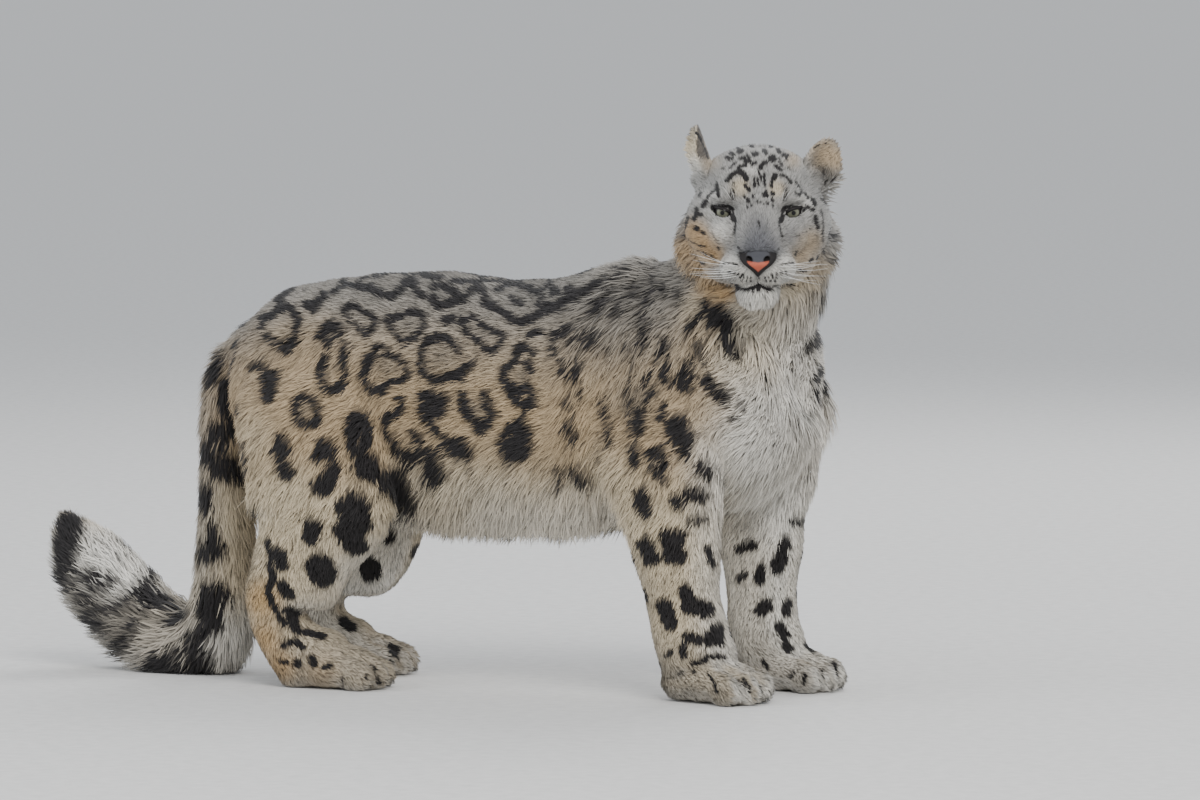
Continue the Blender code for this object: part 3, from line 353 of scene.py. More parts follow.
def finished_mesh(bm):
    bmesh.ops.recalc_face_normals(bm, faces=bm.faces)
    if bm.calc_volume(signed=True) < 0:
        bmesh.ops.reverse_faces(bm, faces=bm.faces)
    mesh = bpy.data.meshes.new("shape")
    bm.to_mesh(mesh)
    bm.free()
    return mesh


def ball(centre, radii, turn=(0.0, 0.0, 0.0), segments=28):
    """An ellipsoid, turned about its own centre by angles in degrees."""
    bm = bmesh.new()
    bmesh.ops.create_uvsphere(bm, u_segments=segments, v_segments=segments * 2 // 3, radius=1.0)
    bm.transform(placed(centre, turn) @ Matrix.Diagonal((*radii, 1.0)))
    return finished_mesh(bm)


def placed(centre, turn=(0.0, 0.0, 0.0)):
    x, y, z = (Matrix.Rotation(math.radians(a), 4, axis) for a, axis in zip(turn, "XYZ"))
    return Matrix.Translation(Vector(centre)) @ z @ y @ x


def as_object(name, mesh):
    made = bpy.data.objects.new(name, mesh)
    bpy.context.scene.collection.objects.link(made)
    return made


def remove(*objects):
    for obj in objects:
        bpy.data.objects.remove(obj, do_unlink=True)


def apply_modifiers(obj):
    graph = bpy.context.evaluated_depsgraph_get()
    mesh = bpy.data.meshes.new_from_object(obj.evaluated_get(graph))
    obj.modifiers.clear()
    obj.data = mesh
    return obj


def joined(meshes):
    bm = bmesh.new()
    for mesh in meshes:
        bm.from_mesh(mesh)
    return finished_mesh(bm)


def fused(name, meshes, voxel, smoothing):
    """One closed surface round all the shapes, with soft joins."""
    obj = as_object(name, joined(meshes))
    remesh = obj.modifiers.new("fuse", "REMESH")
    remesh.mode = "VOXEL"
    remesh.voxel_size = voxel
    soften = obj.modifiers.new("soften", "SMOOTH")
    soften.factor = 0.5
    soften.iterations = smoothing
    return apply_modifiers(obj)


def combine(obj, other, operation):
    """Cuts obj by another closed mesh, or keeps what both share, or adds it on."""
    boolean = obj.modifiers.new("cut", "BOOLEAN")
    boolean.operation = operation
    boolean.object = other
    boolean.solver = "MANIFOLD"
    apply_modifiers(obj)
    remove(other)
    return obj


def mirrored(point, side):
    return Vector((point[0], point[1] * side, point[2]))


def both_sides(balls):
    """The given balls, and a twin across the middle for each that is off it."""
    shapes = []
    for centre, radii, turn in balls:
        for side in (LEFT, RIGHT) if centre[1] else (LEFT,):
            shapes.append(ball(mirrored(centre, side), radii, (0.0, 0.0, -turn * side)))
    return shapes


def head_frame():
    forward = Vector((math.cos(FACE_HEADING), math.sin(FACE_HEADING), 0.0)) * math.cos(FACE_PITCH)
    forward.z = -math.sin(FACE_PITCH)
    left = Vector((-math.sin(FACE_HEADING), math.cos(FACE_HEADING), 0.0))
    up = forward.cross(left)
    turn = Matrix((forward, left, up)).transposed().to_4x4()
    return Matrix.Translation(EYES_AT) @ turn


def paw_frame(centre, heading, size):
    place = Matrix.Translation((*centre, 0.0)) @ Matrix.Rotation(math.radians(heading), 4, "Z")
    return place @ Matrix.Diagonal((size, size, size, 1.0))


def toe_creases():
    """The lines between the toes of every paw, and which way each paw points."""
    found = []
    for _, centre, heading, size in LEGS.values():
        place = paw_frame(centre, heading, size)
        for first, second in zip(TOE_PLACES, TOE_PLACES[1:]):
            ahead, left = min(first[0], second[0]), (first[1] + second[1]) / 2
            line = [np.array(place @ Vector((ahead + forward, left, up))) for forward, up in CREASE]
            found.append((line, unit(np.array(place.to_3x3() @ Vector((0.7, 0.0, 0.7)))[None])[0]))
    return found


def press_creases(skin):
    """Sinks the skin along the lines between the toes."""
    points, normals = mesh_arrays(skin.data)
    sunk = np.zeros(len(points))
    for line, _ in toe_creases():
        for start, end in zip(line, line[1:]):
            away = distance_to(points, start, end) / CREASE_REACH
            sunk = np.maximum(sunk, np.clip(1 - away * away, 0, 1) ** 2)
    points -= normals * (CREASE_DEPTH * sunk)[:, None]
    skin.data.vertices.foreach_set("co", points.astype(np.float32).ravel())
    skin.data.update()


def distance_to(points, start, end):
    """How far each point is from a straight line between two places."""
    off, along = points - start, end - start
    share = np.clip(off @ along / (along @ along), 0, 1)
    return np.linalg.norm(off - share[:, None] * along, axis=1)


def paw_shapes(centre, heading, size):
    """The ball of the foot, the instep and four toes, in the pose's frame."""
    place = paw_frame(centre, heading, size)
    shapes = [ball(*PAW_BALL), ball(*PAW_INSTEP)]
    shapes.append(ball(*(PAW_HEEL if centre[0] < 0 else PAW_PALM)))
    for forward, left in TOE_PLACES:
        spread = math.degrees(math.atan2(left, 0.16))
        shapes.append(ball((forward, left, TOE_HEIGHT), TOE_RADII, (0.0, 12.0, spread)))
    for shape in shapes:
        shape.transform(place)
    return shapes


def press(obj, centre, reach, shift):
    """Moves the surface near a point, fading out smoothly at its reach."""
    for vertex in obj.data.vertices:
        away = (vertex.co - Vector(centre)).length / reach
        if away < 1.0:
            vertex.co += Vector(shift) * (1 - away * away) ** 2


def eye_centre(side):
    return Vector((EYE_BACK, side * EYE_OUT, 0.0))


def eye_turned(side):
    """The frame of an eye: +X out of the eye, +Y across the opening, +Z up."""
    slant = Matrix.Rotation(side * EYE_SLANT, 4, "X")
    turn = Matrix.Rotation(side * EYE_TURN, 4, "Z")
    return Matrix.Translation(eye_centre(side)) @ turn @ slant


def almond(turns):
    """Places across and up on the outline between the lids."""
    places = []
    for k in range(turns):
        c, s = math.cos(2 * math.pi * k / turns), math.sin(2 * math.pi * k / turns)
        lift = 0.74 if s > 0 else 1.0
        places.append((c * LID_WIDTH / 2, s * lift * (1 - 0.25 * c * c) * LID_HEIGHT * 0.58))
    return places


def eye_opening(side):
    """The almond between the lids, as a prism that reaches from the eye outwards."""
    bm = bmesh.new()
    rings = []
    for depth in (0.004, 0.034):
        rings.append([bm.verts.new((depth, across, up)) for across, up in almond(40)])
    for k in range(40):
        bm.faces.new((rings[0][k], rings[0][k - 1], rings[1][k - 1], rings[1][k]))
    bm.faces.new(rings[0])
    bm.faces.new(rings[1])
    bm.transform(eye_turned(side))
    return as_object("opening", finished_mesh(bm))


def groove(head, places, width):
    """Carves a narrow line into the face through places left and up on it."""
    tree = BVHTree.FromObject(head, bpy.context.evaluated_depsgraph_get())
    curve = bpy.data.curves.new("line", "CURVE")
    curve.dimensions = "3D"
    curve.bevel_depth = width / 2
    curve.bevel_resolution = 2
    curve.use_fill_caps = True
    spline = curve.splines.new("POLY")
    rows = smooth_rows(places, 40)
    spline.points.add(len(rows) - 1)
    for knot, (left, up) in zip(spline.points, rows):
        hit = tree.ray_cast(Vector((0.20, left, up)), Vector((-1, 0, 0)))[0]
        knot.co = (*hit, 1.0)
    line = as_object("line", curve)
    mesh = bpy.data.meshes.new_from_object(line.evaluated_get(bpy.context.evaluated_depsgraph_get()))
    remove(line)
    bm = bmesh.new()
    bm.from_mesh(mesh)
    bmesh.ops.remove_doubles(bm, verts=bm.verts, dist=1e-6)
    combine(head, as_object("line", finished_mesh(bm)), "DIFFERENCE")


def ear_mesh(name):
    """A rounded cup with a soft rim, rooted in the skull."""
    base, up, facing = (Vector(v) for v in EARS[name])
    up.normalize()
    facing = (facing - up * facing.dot(up)).normalized()
    across = up.cross(facing)
    bm = bmesh.new()
    bmesh.ops.create_grid(bm, x_segments=18, y_segments=22, size=1.0)
    for vertex in bm.verts:
        u = vertex.co.x
        v = -EAR_ROOT + (0.985 + EAR_ROOT) * (vertex.co.y + 1) / 2
        narrow = (1 - max(v, 0.0) ** 2.1) ** 0.55 * (0.62 + 0.38 * min(1.0, (v + EAR_ROOT) / 0.85))
        fold = EAR_CUP * ((u * narrow) ** 2 - 0.45) * (1.15 - 0.55 * max(v, 0.0))
        vertex.co = base + across * (u * narrow * EAR_HALF_WIDTH) + up * (v * EAR_HEIGHT) + facing * fold
    made = as_object(name, finished_mesh(bm))
    thick = made.modifiers.new("thick", "SOLIDIFY")
    thick.thickness = EAR_THICKNESS
    thick.offset = 0.0
    return apply_modifiers(made)


# ------- skin


def head_skin():
    """The head in its own frame: skull, face, lids and the ears."""
    skull = fused("skull", both_sides(SKULL_BALLS), 0.0032, 40)
    shapes = both_sides(FACE_BALLS) + [loft(NOSE_BRIDGE, 30, 40, 2.6), skull.data]
    head = fused("head_skin", shapes, HEAD_VOXEL, 14)
    remove(skull)
    for centre, reach, shift in FACE_PRESSES:
        for side in (LEFT, RIGHT):
            press(head, mirrored(centre, side), reach, mirrored(shift, side))
    for side in (LEFT, RIGHT):
        lid = as_object("lid", ball(eye_centre(side), (EYE_RADIUS + LID_THICKNESS,) * 3))
        combine(head, lid, "UNION")
    sunk = {v.index: v.co - v.normal * head_depth(v.co) for v in head.data.vertices}
    for index, place in sunk.items():
        head.data.vertices[index].co = place
    ears = [ear_mesh(name) for name in EARS]
    finer = fused("head_fine", [head.data] + [ear.data for ear in ears], EAR_VOXEL, 3)
    remove(head, *ears)
    return finer


def head_depth(place):
    """How far the coat lifts the outline of the head off its skin."""
    back = min(max((0.012 - place.x) / 0.06, 0.0), 1.0)
    nape = min(max((-0.060 - place.x) / 0.055, 0.0), 1.0)
    return 0.0015 + 0.006 * back + 0.006 * nape



# ------- fields over the body, worked out for many points at once


def noise3(points, size, seed):
    """Smooth random values from 0 to 1, the same on each run, at a feature size in metres."""
    q = points / size + 1000.0 + seed * 17.3
    low = np.floor(q).astype(np.int64)
    f = q - low
    f = f * f * (3 - 2 * f)
    total = np.zeros(len(points))
    for corner in range(8):
        step = np.array([corner & 1, corner >> 1 & 1, corner >> 2 & 1])
        cell = (low + step).astype(np.uint64)
        h = cell[:, 0] * np.uint64(73856093) ^ cell[:, 1] * np.uint64(19349663)
        h = (h ^ cell[:, 2] * np.uint64(83492791)) & np.uint64(0xFFFFFFFF)
        h = (h ^ h >> np.uint64(13)) * np.uint64(1274126177) & np.uint64(0xFFFFFFFF)
        h = (h ^ h >> np.uint64(16)) * np.uint64(2246822519) & np.uint64(0xFFFFFFFF)
        value = (h >> np.uint64(8)).astype(float) / float(1 << 24)
        share = np.where(step == 1, f, 1 - f).prod(axis=1)
        total += value * share
    return total


def noise_vectors(points, size, seed):
    return np.stack([noise3(points, size, seed + k) - 0.5 for k in range(3)], axis=1) * 2


def unit(vectors):
    return vectors / np.maximum(np.linalg.norm(vectors, axis=1, keepdims=True), 1e-9)


def ramp(values, low, high):
    """0 at low and below, 1 at high and above, smooth between."""
    t = np.clip((values - low) / (high - low), 0.0, 1.0)
    return t * t * (3 - 2 * t)


def mesh_arrays(mesh):
    """Points and outward normals of a mesh's vertices."""
    points = np.empty(len(mesh.vertices) * 3)
    mesh.vertices.foreach_get("co", points)
    normals = np.empty(len(mesh.vertices) * 3)
    mesh.vertices.foreach_get("normal", normals)
    return points.reshape(-1, 3), normals.reshape(-1, 3)


def transformed(points, matrix):
    m = np.array(matrix)
    return points @ m[:3, :3].T + m[:3, 3]


# Each guide has a place, the way the coat lies, and then these sizes in metres
LENGTH, DEPTH, SINK, WIDTH, DENSITY = range(3, 8)


def guide(points, lie, length, depth, sink, width, density):
    rows = np.empty((len(points), 11))
    rows[:, 0:3] = unit(np.broadcast_to(np.asarray(lie, float), points.shape))
    for column, value in zip(range(3, 8), (length, depth, sink, width, density)):
        rows[:, column] = value
    rows[:, 8:11] = points
    return rows


def trunk_guides():
    points, normals = mesh_arrays(loft(TRUNK, 50, 40))
    low = ramp(-points[:, 2], -0.36, -0.24)
    top = ramp(normals[:, 2], 0.2, 0.9)
    rear = ramp(-points[:, 0], 0.42, 0.50)
    lie = np.stack([-1 + 0.72 * low + 0.4 * rear, 0 * low, -0.30 - 0.8 * low - 0.5 * rear + 0.25 * top], axis=1)
    length = 0.0232 - 0.004 * top + 0.032 * low
    depth = 0.012 - 0.003 * top + 0.004 * low
    return guide(points, lie, length, depth, depth + 0.001, 0.0024, 150000 - 60000 * low)


def neck_guides():
    points, normals = mesh_arrays(loft(NECK, 24, 32))
    rows = np.array(NECK)
    ahead = rows[-1, :3] - rows[0, :3]
    ahead /= np.linalg.norm(ahead)
    nape = ramp(normals[:, 2] - 0.6 * normals[:, 0], 0.1, 0.9)[:, None]
    lie = -ahead * (0.35 + 0.65 * nape) + np.array([[0, 0, -0.9]]) * (1 - 0.7 * nape)
    return guide(points, lie, 0.044, 0.017, 0.018, 0.0030, 85000)


def breast_guides():
    points, _ = mesh_arrays(ball(*BREAST, segments=32))
    return guide(points, (-0.06, 0.0, -1.0), 0.050, 0.018, 0.019, 0.0030, 85000)


def leg_guides():
    found = []
    for rows, paw, heading, size in LEGS.values():
        points, normals = mesh_arrays(loft(rows, 40, 28))
        high = ramp(points[:, 2], 0.13, 0.30)
        behind = ramp(-normals[:, 0], 0.2, 0.8) * high
        lie = np.stack([-0.10 - 0.35 * high, 0 * high, -1 + 0 * high], axis=1)
        length = 0.014 + 0.013 * high + 0.012 * behind
        depth = 0.005 + 0.007 * high
        width = 0.0020 + 0.0006 * high
        found.append(guide(points, lie, length, depth, depth, width, 170000 - 55000 * high))
        turn = math.radians(heading)
        ahead = (math.cos(turn), math.sin(turn), -0.5)
        for shape in paw_shapes(paw, heading, size):
            points, _ = mesh_arrays(shape)
            found.append(guide(points, ahead, 0.0105, 0.0035, 0.003, 0.0018, 200000))
    return np.concatenate(found)


def tail_guides():
    table = smooth_rows(TAIL, 160)
    points, _ = mesh_arrays(loft([(x, y, z, r * 0.66, r * 0.66, r * 0.66) for x, y, z, r in TAIL], 80, 24, 2.0))
    nearest = np.argmin(((points[:, None] - table[None, :, :3]) ** 2).sum(2), axis=1)
    lie = np.gradient(table[:, :3], axis=0)[nearest]
    reach = table[nearest, 3]
    return guide(points, lie, 0.020 + 0.42 * reach, 0.42 * reach, 0.0, 0.0029, 115000)


def head_guides(head):
    """From the head's own skin, in its own frame: shortest by the nose, longest behind the cheeks."""
    points, normals = mesh_arrays(head.data)
    points, normals = points[::4], normals[::4]
    x, y, z = points.T
    back = ramp(-x, -0.020, 0.070)
    ruff = ramp(-x, 0.012, 0.055) * ramp(abs(y), 0.035, 0.065) * ramp(-z, -0.030, 0.015)
    chin = ramp(-z, 0.090, 0.100) * ramp(-abs(y), -0.038, -0.028)
    nape = ramp(-x, 0.055, 0.110)
    lie = points - np.array([[0.066, 0.0, -0.046]])
    lie = unit(lie) + np.array([[-0.35, 0.0, -0.1]]) * back[:, None]
    lie += np.array([[-0.5, 0.0, -0.9]]) * ruff[:, None] + np.array([[0.0, 0.0, -2.0]]) * chin[:, None]
    ear = ramp(z, 0.030, 0.045) * ramp(abs(y), 0.052, 0.062)
    length = (0.0064 + 0.0085 * back + 0.018 * ruff + 0.017 * chin + 0.018 * nape) * (1 - 0.55 * ear)
    depth = (0.0024 + 0.0042 * back + 0.006 * ruff + 0.003 * chin + 0.006 * nape) * (1 - 0.75 * ear)
    width = 0.0012 + 0.0008 * back + 0.0008 * ruff + 0.0006 * nape
    frame = np.array(head_frame())[:3, :3]
    return guide(transformed(points, head_frame()), lie @ frame.T, length, depth, 0.0, width,
                 420000 - 200000 * back - 60000 * nape)


def body_guides(head):
    """A search tree over all the guides, and their rows."""
    rows = np.concatenate([trunk_guides(), neck_guides(), breast_guides(), leg_guides(), tail_guides()])
    rows = np.concatenate([rows, head_guides(head)])
    tree = KDTree(len(rows))
    for index, row in enumerate(rows):
        tree.insert(row[8:11], index)
    tree.balance()
    return tree, rows


def read_guides(guides, points, count=7):
    """The lie and sizes of the coat at each point, as a mean of the nearest guides."""
    tree, rows = guides
    found = np.empty((len(points), 8))
    for number, point in enumerate(points):
        near = tree.find_n(point, count)
        weights = np.array([1.0 / (away + 0.004) ** 2 for _, _, away in near])
        found[number] = weights @ rows[[index for _, index, _ in near], :8] / weights.sum()
    return found

# ------- markings and painted shade

# Palette of the coat, linear
GREY = (0.28, 0.255, 0.22)
BUFF = (0.44, 0.325, 0.195)
CREAM = (0.62, 0.515, 0.355)
WHITE = (0.80, 0.77, 0.70)
OCHRE = (0.53, 0.325, 0.130)
SLATE = (0.092, 0.094, 0.108)
SMOKE = (0.115, 0.105, 0.09)
FACE = (0.33, 0.32, 0.30)
DARK = (0.018, 0.016, 0.016)
RIM = (0.012, 0.010, 0.010)

# Dark marks on the body, with a few strokes of painted shade in folds and creases, traced on the photograph: width and
# strength, then places x, y along the mark
BODY_LINES = (
    (8, 1, 262, 328, 263, 319, 272, 315, 282, 308, 291, 308, 297, 319, 295, 334, 292, 346, 284, 353, 274, 345, 268, 337),
    (14, 1, 283, 347, 284, 349), (10, 1, 307, 306, 313, 309), (10, 1, 319, 302, 324, 297),
    (6.5, 1, 345, 316, 343, 311, 349, 305, 358, 309, 367, 314, 374, 319, 373, 327, 366, 335, 359, 330, 352, 322, 345, 316),
    (6.5, 1, 388, 319, 397, 317, 405, 312, 414, 313, 424, 315, 423, 326, 418, 334, 411, 340, 403, 344, 391, 331, 387, 322),
    (9, 1, 319, 338, 323, 331, 331, 325, 338, 328, 339, 335), (11, 1, 323, 339, 328, 344),
    (8, 1, 343, 345, 344, 355, 341, 365, 346, 376), (9, 1, 325, 358, 320, 370, 321, 384, 328, 392, 337, 391, 341, 384),
    (7, 1, 372, 356, 377, 347, 384, 348, 389, 356, 397, 357, 404, 364, 407, 374, 402, 381, 391, 382),
    (9, 1, 374, 356, 366, 361, 366, 368, 362, 376), (10, 1, 366, 387, 374, 392, 384, 388),
    (8, 0.9, 424, 345, 433, 337, 444, 337, 453, 344), (8, 0.9, 421, 352, 420, 365, 425, 376, 434, 381, 446, 379),
    (10, 1, 452, 377, 460, 375, 465, 368, 470, 364), (5, 0.7, 455, 346, 462, 356),
    (8, 1, 463, 321, 464, 330, 471, 337, 481, 345, 488, 351, 494, 352, 498, 345),
    (7, 1, 463, 320, 471, 317, 481, 324, 491, 330, 499, 333, 504, 337, 500, 343),
    (11, 0.9, 444, 320, 449, 320), (7, 0.9, 529, 336, 535, 332, 541, 331),
    (9, 1, 533, 353, 524, 347, 516, 350, 514, 361, 505, 370, 503, 380, 508, 388), (14, 1, 512, 390, 513, 392),
    (9, 0.9, 515, 400, 525, 406, 534, 404), (8, 0.8, 528, 364, 531, 372), (10, 0.9, 527, 386, 532, 397),
    (7, 0.8, 524, 411, 522, 417), (13, 1, 512, 429, 519, 425, 525, 436, 524, 450),
    (13, 1, 503, 440, 504, 452, 511, 459, 520, 456), (20, 1, 514, 446, 516, 454),
    (10, 1, 462, 396, 463, 406, 467, 415, 475, 424, 482, 430, 488, 422, 493, 415, 488, 406, 484, 396),
    (10, 0.9, 444, 399, 441, 411, 433, 414), (10, 1, 422, 397, 423, 411, 429, 423, 436, 433), (16, 0.6, 431, 398, 434, 406),
    (9, 1, 294, 404, 301, 397, 310, 400, 317, 408, 318, 419, 312, 427, 304, 425, 296, 419, 294, 404),
    (9, 0.9, 252, 369, 260, 366, 268, 373, 276, 376), (14, 0.9, 266, 382, 271, 388, 268, 396),
    (9, 1, 400, 400, 402, 408, 397, 413, 388, 416, 384, 425, 385, 436, 393, 442), (10, 1, 413, 433, 419, 437, 417, 446),
    (12, 1, 395, 449, 401, 454, 410, 458), (11, 1, 354, 417, 362, 419, 366, 430, 366, 442),
    (13, 1, 352, 424, 351, 438, 353, 449, 361, 457), (22, 1, 364, 464, 369, 473), (15, 1, 322, 446, 331, 450),
    (10, 1, 316, 460, 324, 456), (16, 1, 333, 470, 324, 482), (18, 1, 320, 488, 326, 486), (15, 0.9, 279, 440, 283, 448),
    (10, 0.8, 274, 453, 280, 455), (15, 0.95, 283, 466, 288, 474), (22, 1, 429, 460, 435, 474),
    (13, 1, 446, 441, 454, 449, 464, 455), (12, 0.9, 460, 442, 466, 452), (28, 1, 394, 484, 402, 497),
    (18, 0.85, 229, 388, 227, 404), (17, 0.95, 219, 432, 233, 430), (20, 1, 222, 467, 240, 472), (11, 0.9, 207, 446, 208, 464),
    # The stroke from (217, 360) down to (211, 384) is painted shade along the edge of the rump.
    (10, 0.7, 217, 360, 211, 384), (14, 1, 235, 516, 256, 518), (12, 0.9, 206, 490, 206, 508), (10, 0.8, 212, 527, 214, 535),
    (9, 1, 334, 291, 344, 284, 357, 286, 371, 289, 382, 295, 392, 297, 402, 290, 405, 284),
    (6, 0.85, 330, 281, 360, 280, 385, 275, 405, 274, 425, 275, 442, 278), (9, 1, 304, 293, 306, 285, 315, 283),
    (13, 1, 280, 299, 289, 292), (8, 0.95, 258, 313, 266, 306, 276, 300), (8, 1, 412, 280, 414, 289, 421, 296),
    (6, 0.9, 424, 277, 437, 279), (8, 0.9, 433, 287, 436, 287), (9, 1, 433, 299, 438, 308),
    (8, 1, 437, 306, 449, 303, 462, 300, 471, 292, 478, 286), (8, 0.9, 445, 287, 456, 293), (5, 0.8, 452, 282, 475, 282),
    (8, 1, 483, 291, 486, 303, 498, 310, 509, 317, 520, 323, 532, 319, 542, 312, 548, 305),
    (8, 0.9, 498, 290, 508, 284, 520, 285, 529, 289, 537, 293), (7, 0.8, 512, 299, 521, 304), (6, 0.8, 542, 297, 537, 306),
    (6, 0.8, 543, 290, 550, 283), (10, 0.8, 554, 291, 556, 292), (12, 0.9, 550, 309, 555, 308),
    (8, 0.9, 560, 304, 575, 298, 586, 290, 598, 283, 605, 278), (9, 0.8, 569, 290, 571, 290),
    (5, 0.75, 470, 281, 500, 281, 540, 280, 575, 275, 610, 270, 640, 263), (13, 0.8, 592, 310, 596, 304),
    (7, 0.7, 608, 288, 606, 300), (10, 0.85, 614, 305, 615, 316), (8, 0.7, 620, 275, 625, 269), (9, 0.9, 632, 285, 630, 298),
    (9, 0.5, 645, 325, 641, 350), (7, 0.75, 653, 276, 650, 290, 643, 304), (7, 0.7, 640, 306, 640, 322),
    (8, 0.7, 655, 266, 662, 259, 670, 252), (7, 0.7, 662, 285, 660, 296), (6, 0.6, 676, 290, 678, 306),
    (8, 0.75, 553, 336, 561, 331, 572, 327), (7, 0.7, 552, 344, 553, 356), (7, 0.65, 561, 331, 573, 342),
    (7, 0.65, 583, 329, 581, 339), (9, 0.75, 587, 344, 590, 346), (11, 0.6, 592, 334, 595, 337), (9, 0.45, 605, 349, 606, 355),
    (9, 0.45, 625, 346, 627, 350), (8, 0.75, 560, 362, 564, 375, 570, 381), (8, 0.8, 574, 358, 577, 367, 574, 378),
    (9, 0.5, 563, 400, 572, 411), (14, 0.8, 568, 428, 572, 438), (8, 0.5, 578, 385, 580, 395), (12, 0.85, 572, 471, 582, 480),
    (9, 0.6, 556, 470, 558, 486), (8, 0.35, 594, 454, 597, 458), (8, 0.35, 602, 438, 604, 450), (7, 0.4, 470, 468, 474, 480),
    # These strokes near x 600-634, from y 365 down, are painted shade in the fold between shoulder and flank.
    (9, 0.36, 631, 365, 630, 390), (10, 0.42, 629, 395, 630, 420, 632, 445), (10, 0.7, 633, 450, 634, 466),
    (9, 0.45, 602, 398, 606, 420, 610, 445), (28, 1, 351, 508, 356, 513), (12, 1, 363, 520, 367, 526),
    (22, 1, 345, 533, 356, 543), (22, 1, 387, 519, 393, 525), (12, 1, 386, 533, 388, 538), (17, 1, 312, 527, 311, 537),
    (25, 1, 319, 567, 323, 574), (18, 1, 369, 566, 371, 574), (14, 1, 322, 603, 342, 604), (14, 1, 371, 598, 382, 592),
    (10, 0.9, 344, 622, 352, 628), (8, 0.8, 268, 542, 272, 558), (13, 0.95, 279, 553, 282, 565),
    (7, 0.9, 270, 566, 273, 580, 268, 588, 272, 604, 277, 612), (11, 0.95, 282, 586, 290, 595), (11, 1, 288, 611, 294, 616),
    (8, 0.9, 281, 620, 285, 624), (9, 1, 293, 624, 296, 630), (6, 1, 298, 632, 310, 633, 324, 637),
    (6, 1, 284, 646, 290, 643, 298, 643, 303, 648), (5, 0.8, 281, 662, 287, 663), (8, 0.95, 297, 663, 299, 664),
    # The thin strokes from (343, 678) to (403, 684) are painted shade in the creases between the hind toes; the stroke
    # at (418, 532) is painted shade on the far thigh.
    (9, 1, 313, 660, 314, 663), (5, 0.9, 324, 668, 331, 666), (13, 1, 277, 676, 302, 683), (3, 0.9, 343, 678, 345, 690),
    (4, 0.9, 366, 676, 370, 686), (4, 0.9, 378, 678, 380, 684), (4, 0.8, 400, 678, 403, 684), (8, 0.6, 418, 532, 421, 546),
    (10, 0.9, 664, 344, 665, 350), (9, 0.95, 667, 365, 664, 372), (9, 0.95, 663, 376, 667, 384), (6, 0.8, 659, 350, 656, 364),
    (11, 1, 685, 363, 690, 373), (12, 1, 680, 378, 683, 386), (8, 0.95, 687, 388, 691, 392), (7, 0.8, 650, 373, 642, 385),
    (8, 0.8, 652, 392, 647, 400), (8, 0.9, 664, 404, 662, 414, 659, 420), (10, 1, 641, 412, 640, 420, 638, 430),
    (22, 1, 676, 428, 682, 440), (13, 1, 681, 448, 683, 454), (11, 1, 650, 455, 658, 451, 663, 458), (9, 1, 664, 462, 664, 467),
    (9, 1, 652, 468, 658, 476, 664, 482), (13, 1, 700, 468, 709, 475), (6, 0.7, 715, 478, 722, 484), (9, 0.9, 697, 345, 702, 358),
    (13, 1, 706, 381, 714, 391, 723, 397), (8, 0.5, 738, 405, 742, 408), (5, 0.5, 728, 418, 736, 419),
    (14, 1, 704, 306, 708, 317), (17, 1, 716, 314, 723, 319), (10, 1, 706, 324, 713, 327), (10, 1, 723, 325, 728, 329),
    (12, 1, 724, 340, 731, 350, 738, 354), (9, 0.7, 690, 321, 686, 333), (8, 0.95, 811, 324, 816, 328),
    (7, 0.8, 820, 314, 826, 310), (10, 0.9, 808, 350, 814, 345), (6, 0.8, 832, 358, 836, 354), (9, 0.9, 825, 380, 827, 394),
    (8, 0.6, 806, 416, 812, 420), (4, 0.4, 795, 356, 799, 360), (15, 1, 641, 494, 645, 512), (11, 1, 675, 500, 677, 507),
    (13, 1, 688, 494, 702, 498), (9, 0.95, 692, 524, 703, 521), (17, 0.95, 669, 538, 676, 537), (10, 0.8, 668, 547, 678, 549),
    (16, 1, 669, 556, 679, 558), (16, 1, 646, 546, 651, 559), (7, 0.9, 707, 550, 713, 566), (14, 1, 686, 593, 688, 603),
    (16, 1, 688, 606, 706, 610), (14, 1, 664, 607, 671, 624), (10, 1, 687, 638, 699, 641), (13, 1, 711, 638, 718, 631),
    (10, 1, 708, 642, 720, 642), (6, 0.8, 667, 656, 671, 653), (8, 0.8, 682, 648, 684, 656), (5, 0.95, 692, 664, 706, 661),
    (5, 0.95, 706, 658, 718, 656, 724, 658), (4, 0.9, 694, 672, 695, 673), (3, 0.9, 680, 675, 684, 672),
    (3, 0.9, 709, 674, 715, 684, 717, 692), (3, 0.9, 744, 679, 750, 687, 751, 692), (3, 0.8, 762, 672, 769, 682),
    (10, 0.95, 740, 550, 752, 546), (12, 1, 785, 545, 781, 557, 777, 570), (9, 0.95, 762, 568, 759, 580),
    (8, 0.6, 739, 579, 745, 575), (13, 1, 761, 611, 766, 606), (9, 0.9, 788, 604, 786, 614), (10, 0.95, 780, 628, 784, 635),
    (8, 0.9, 785, 645, 790, 650), (8, 0.8, 793, 522, 801, 523), (4, 0.8, 763, 661, 768, 668), (4, 0.9, 806, 674, 804, 684),
    (5, 0.95, 834, 664, 836, 674), (3, 0.7, 795, 672, 790, 678), (20, 1, 69, 526, 67, 548), (15, 1, 65, 556, 64, 576), (9, 1, 76, 522, 74, 540),
    (10, 0.8, 82, 592, 95, 585, 108, 578), (8, 0.6, 78, 572, 95, 570), (11, 1, 150, 572, 147, 582, 140, 592, 128, 598),
    (8, 0.8, 128, 600, 118, 606), (8, 0.6, 85, 610, 100, 606, 112, 603), (9, 0.8, 88, 618, 102, 623),
    (13, 0.95, 152, 598, 165, 600), (8, 0.7, 148, 606, 143, 612), (9, 0.85, 185, 612, 175, 617, 165, 623),
    (13, 1, 132, 626, 125, 635, 116, 645, 110, 655), (24, 1, 118, 655, 128, 667), (18, 0.9, 110, 650, 118, 670),
    (22, 1, 155, 664, 168, 667), (14, 1, 170, 655, 175, 671), (16, 1, 194, 640, 196, 655), (22, 1, 200, 660, 203, 674),
    (18, 1, 208, 610, 210, 626), (14, 1, 214, 590, 224, 598), (12, 1, 206, 590, 212, 605), (17, 1, 206, 553, 216, 548),
)
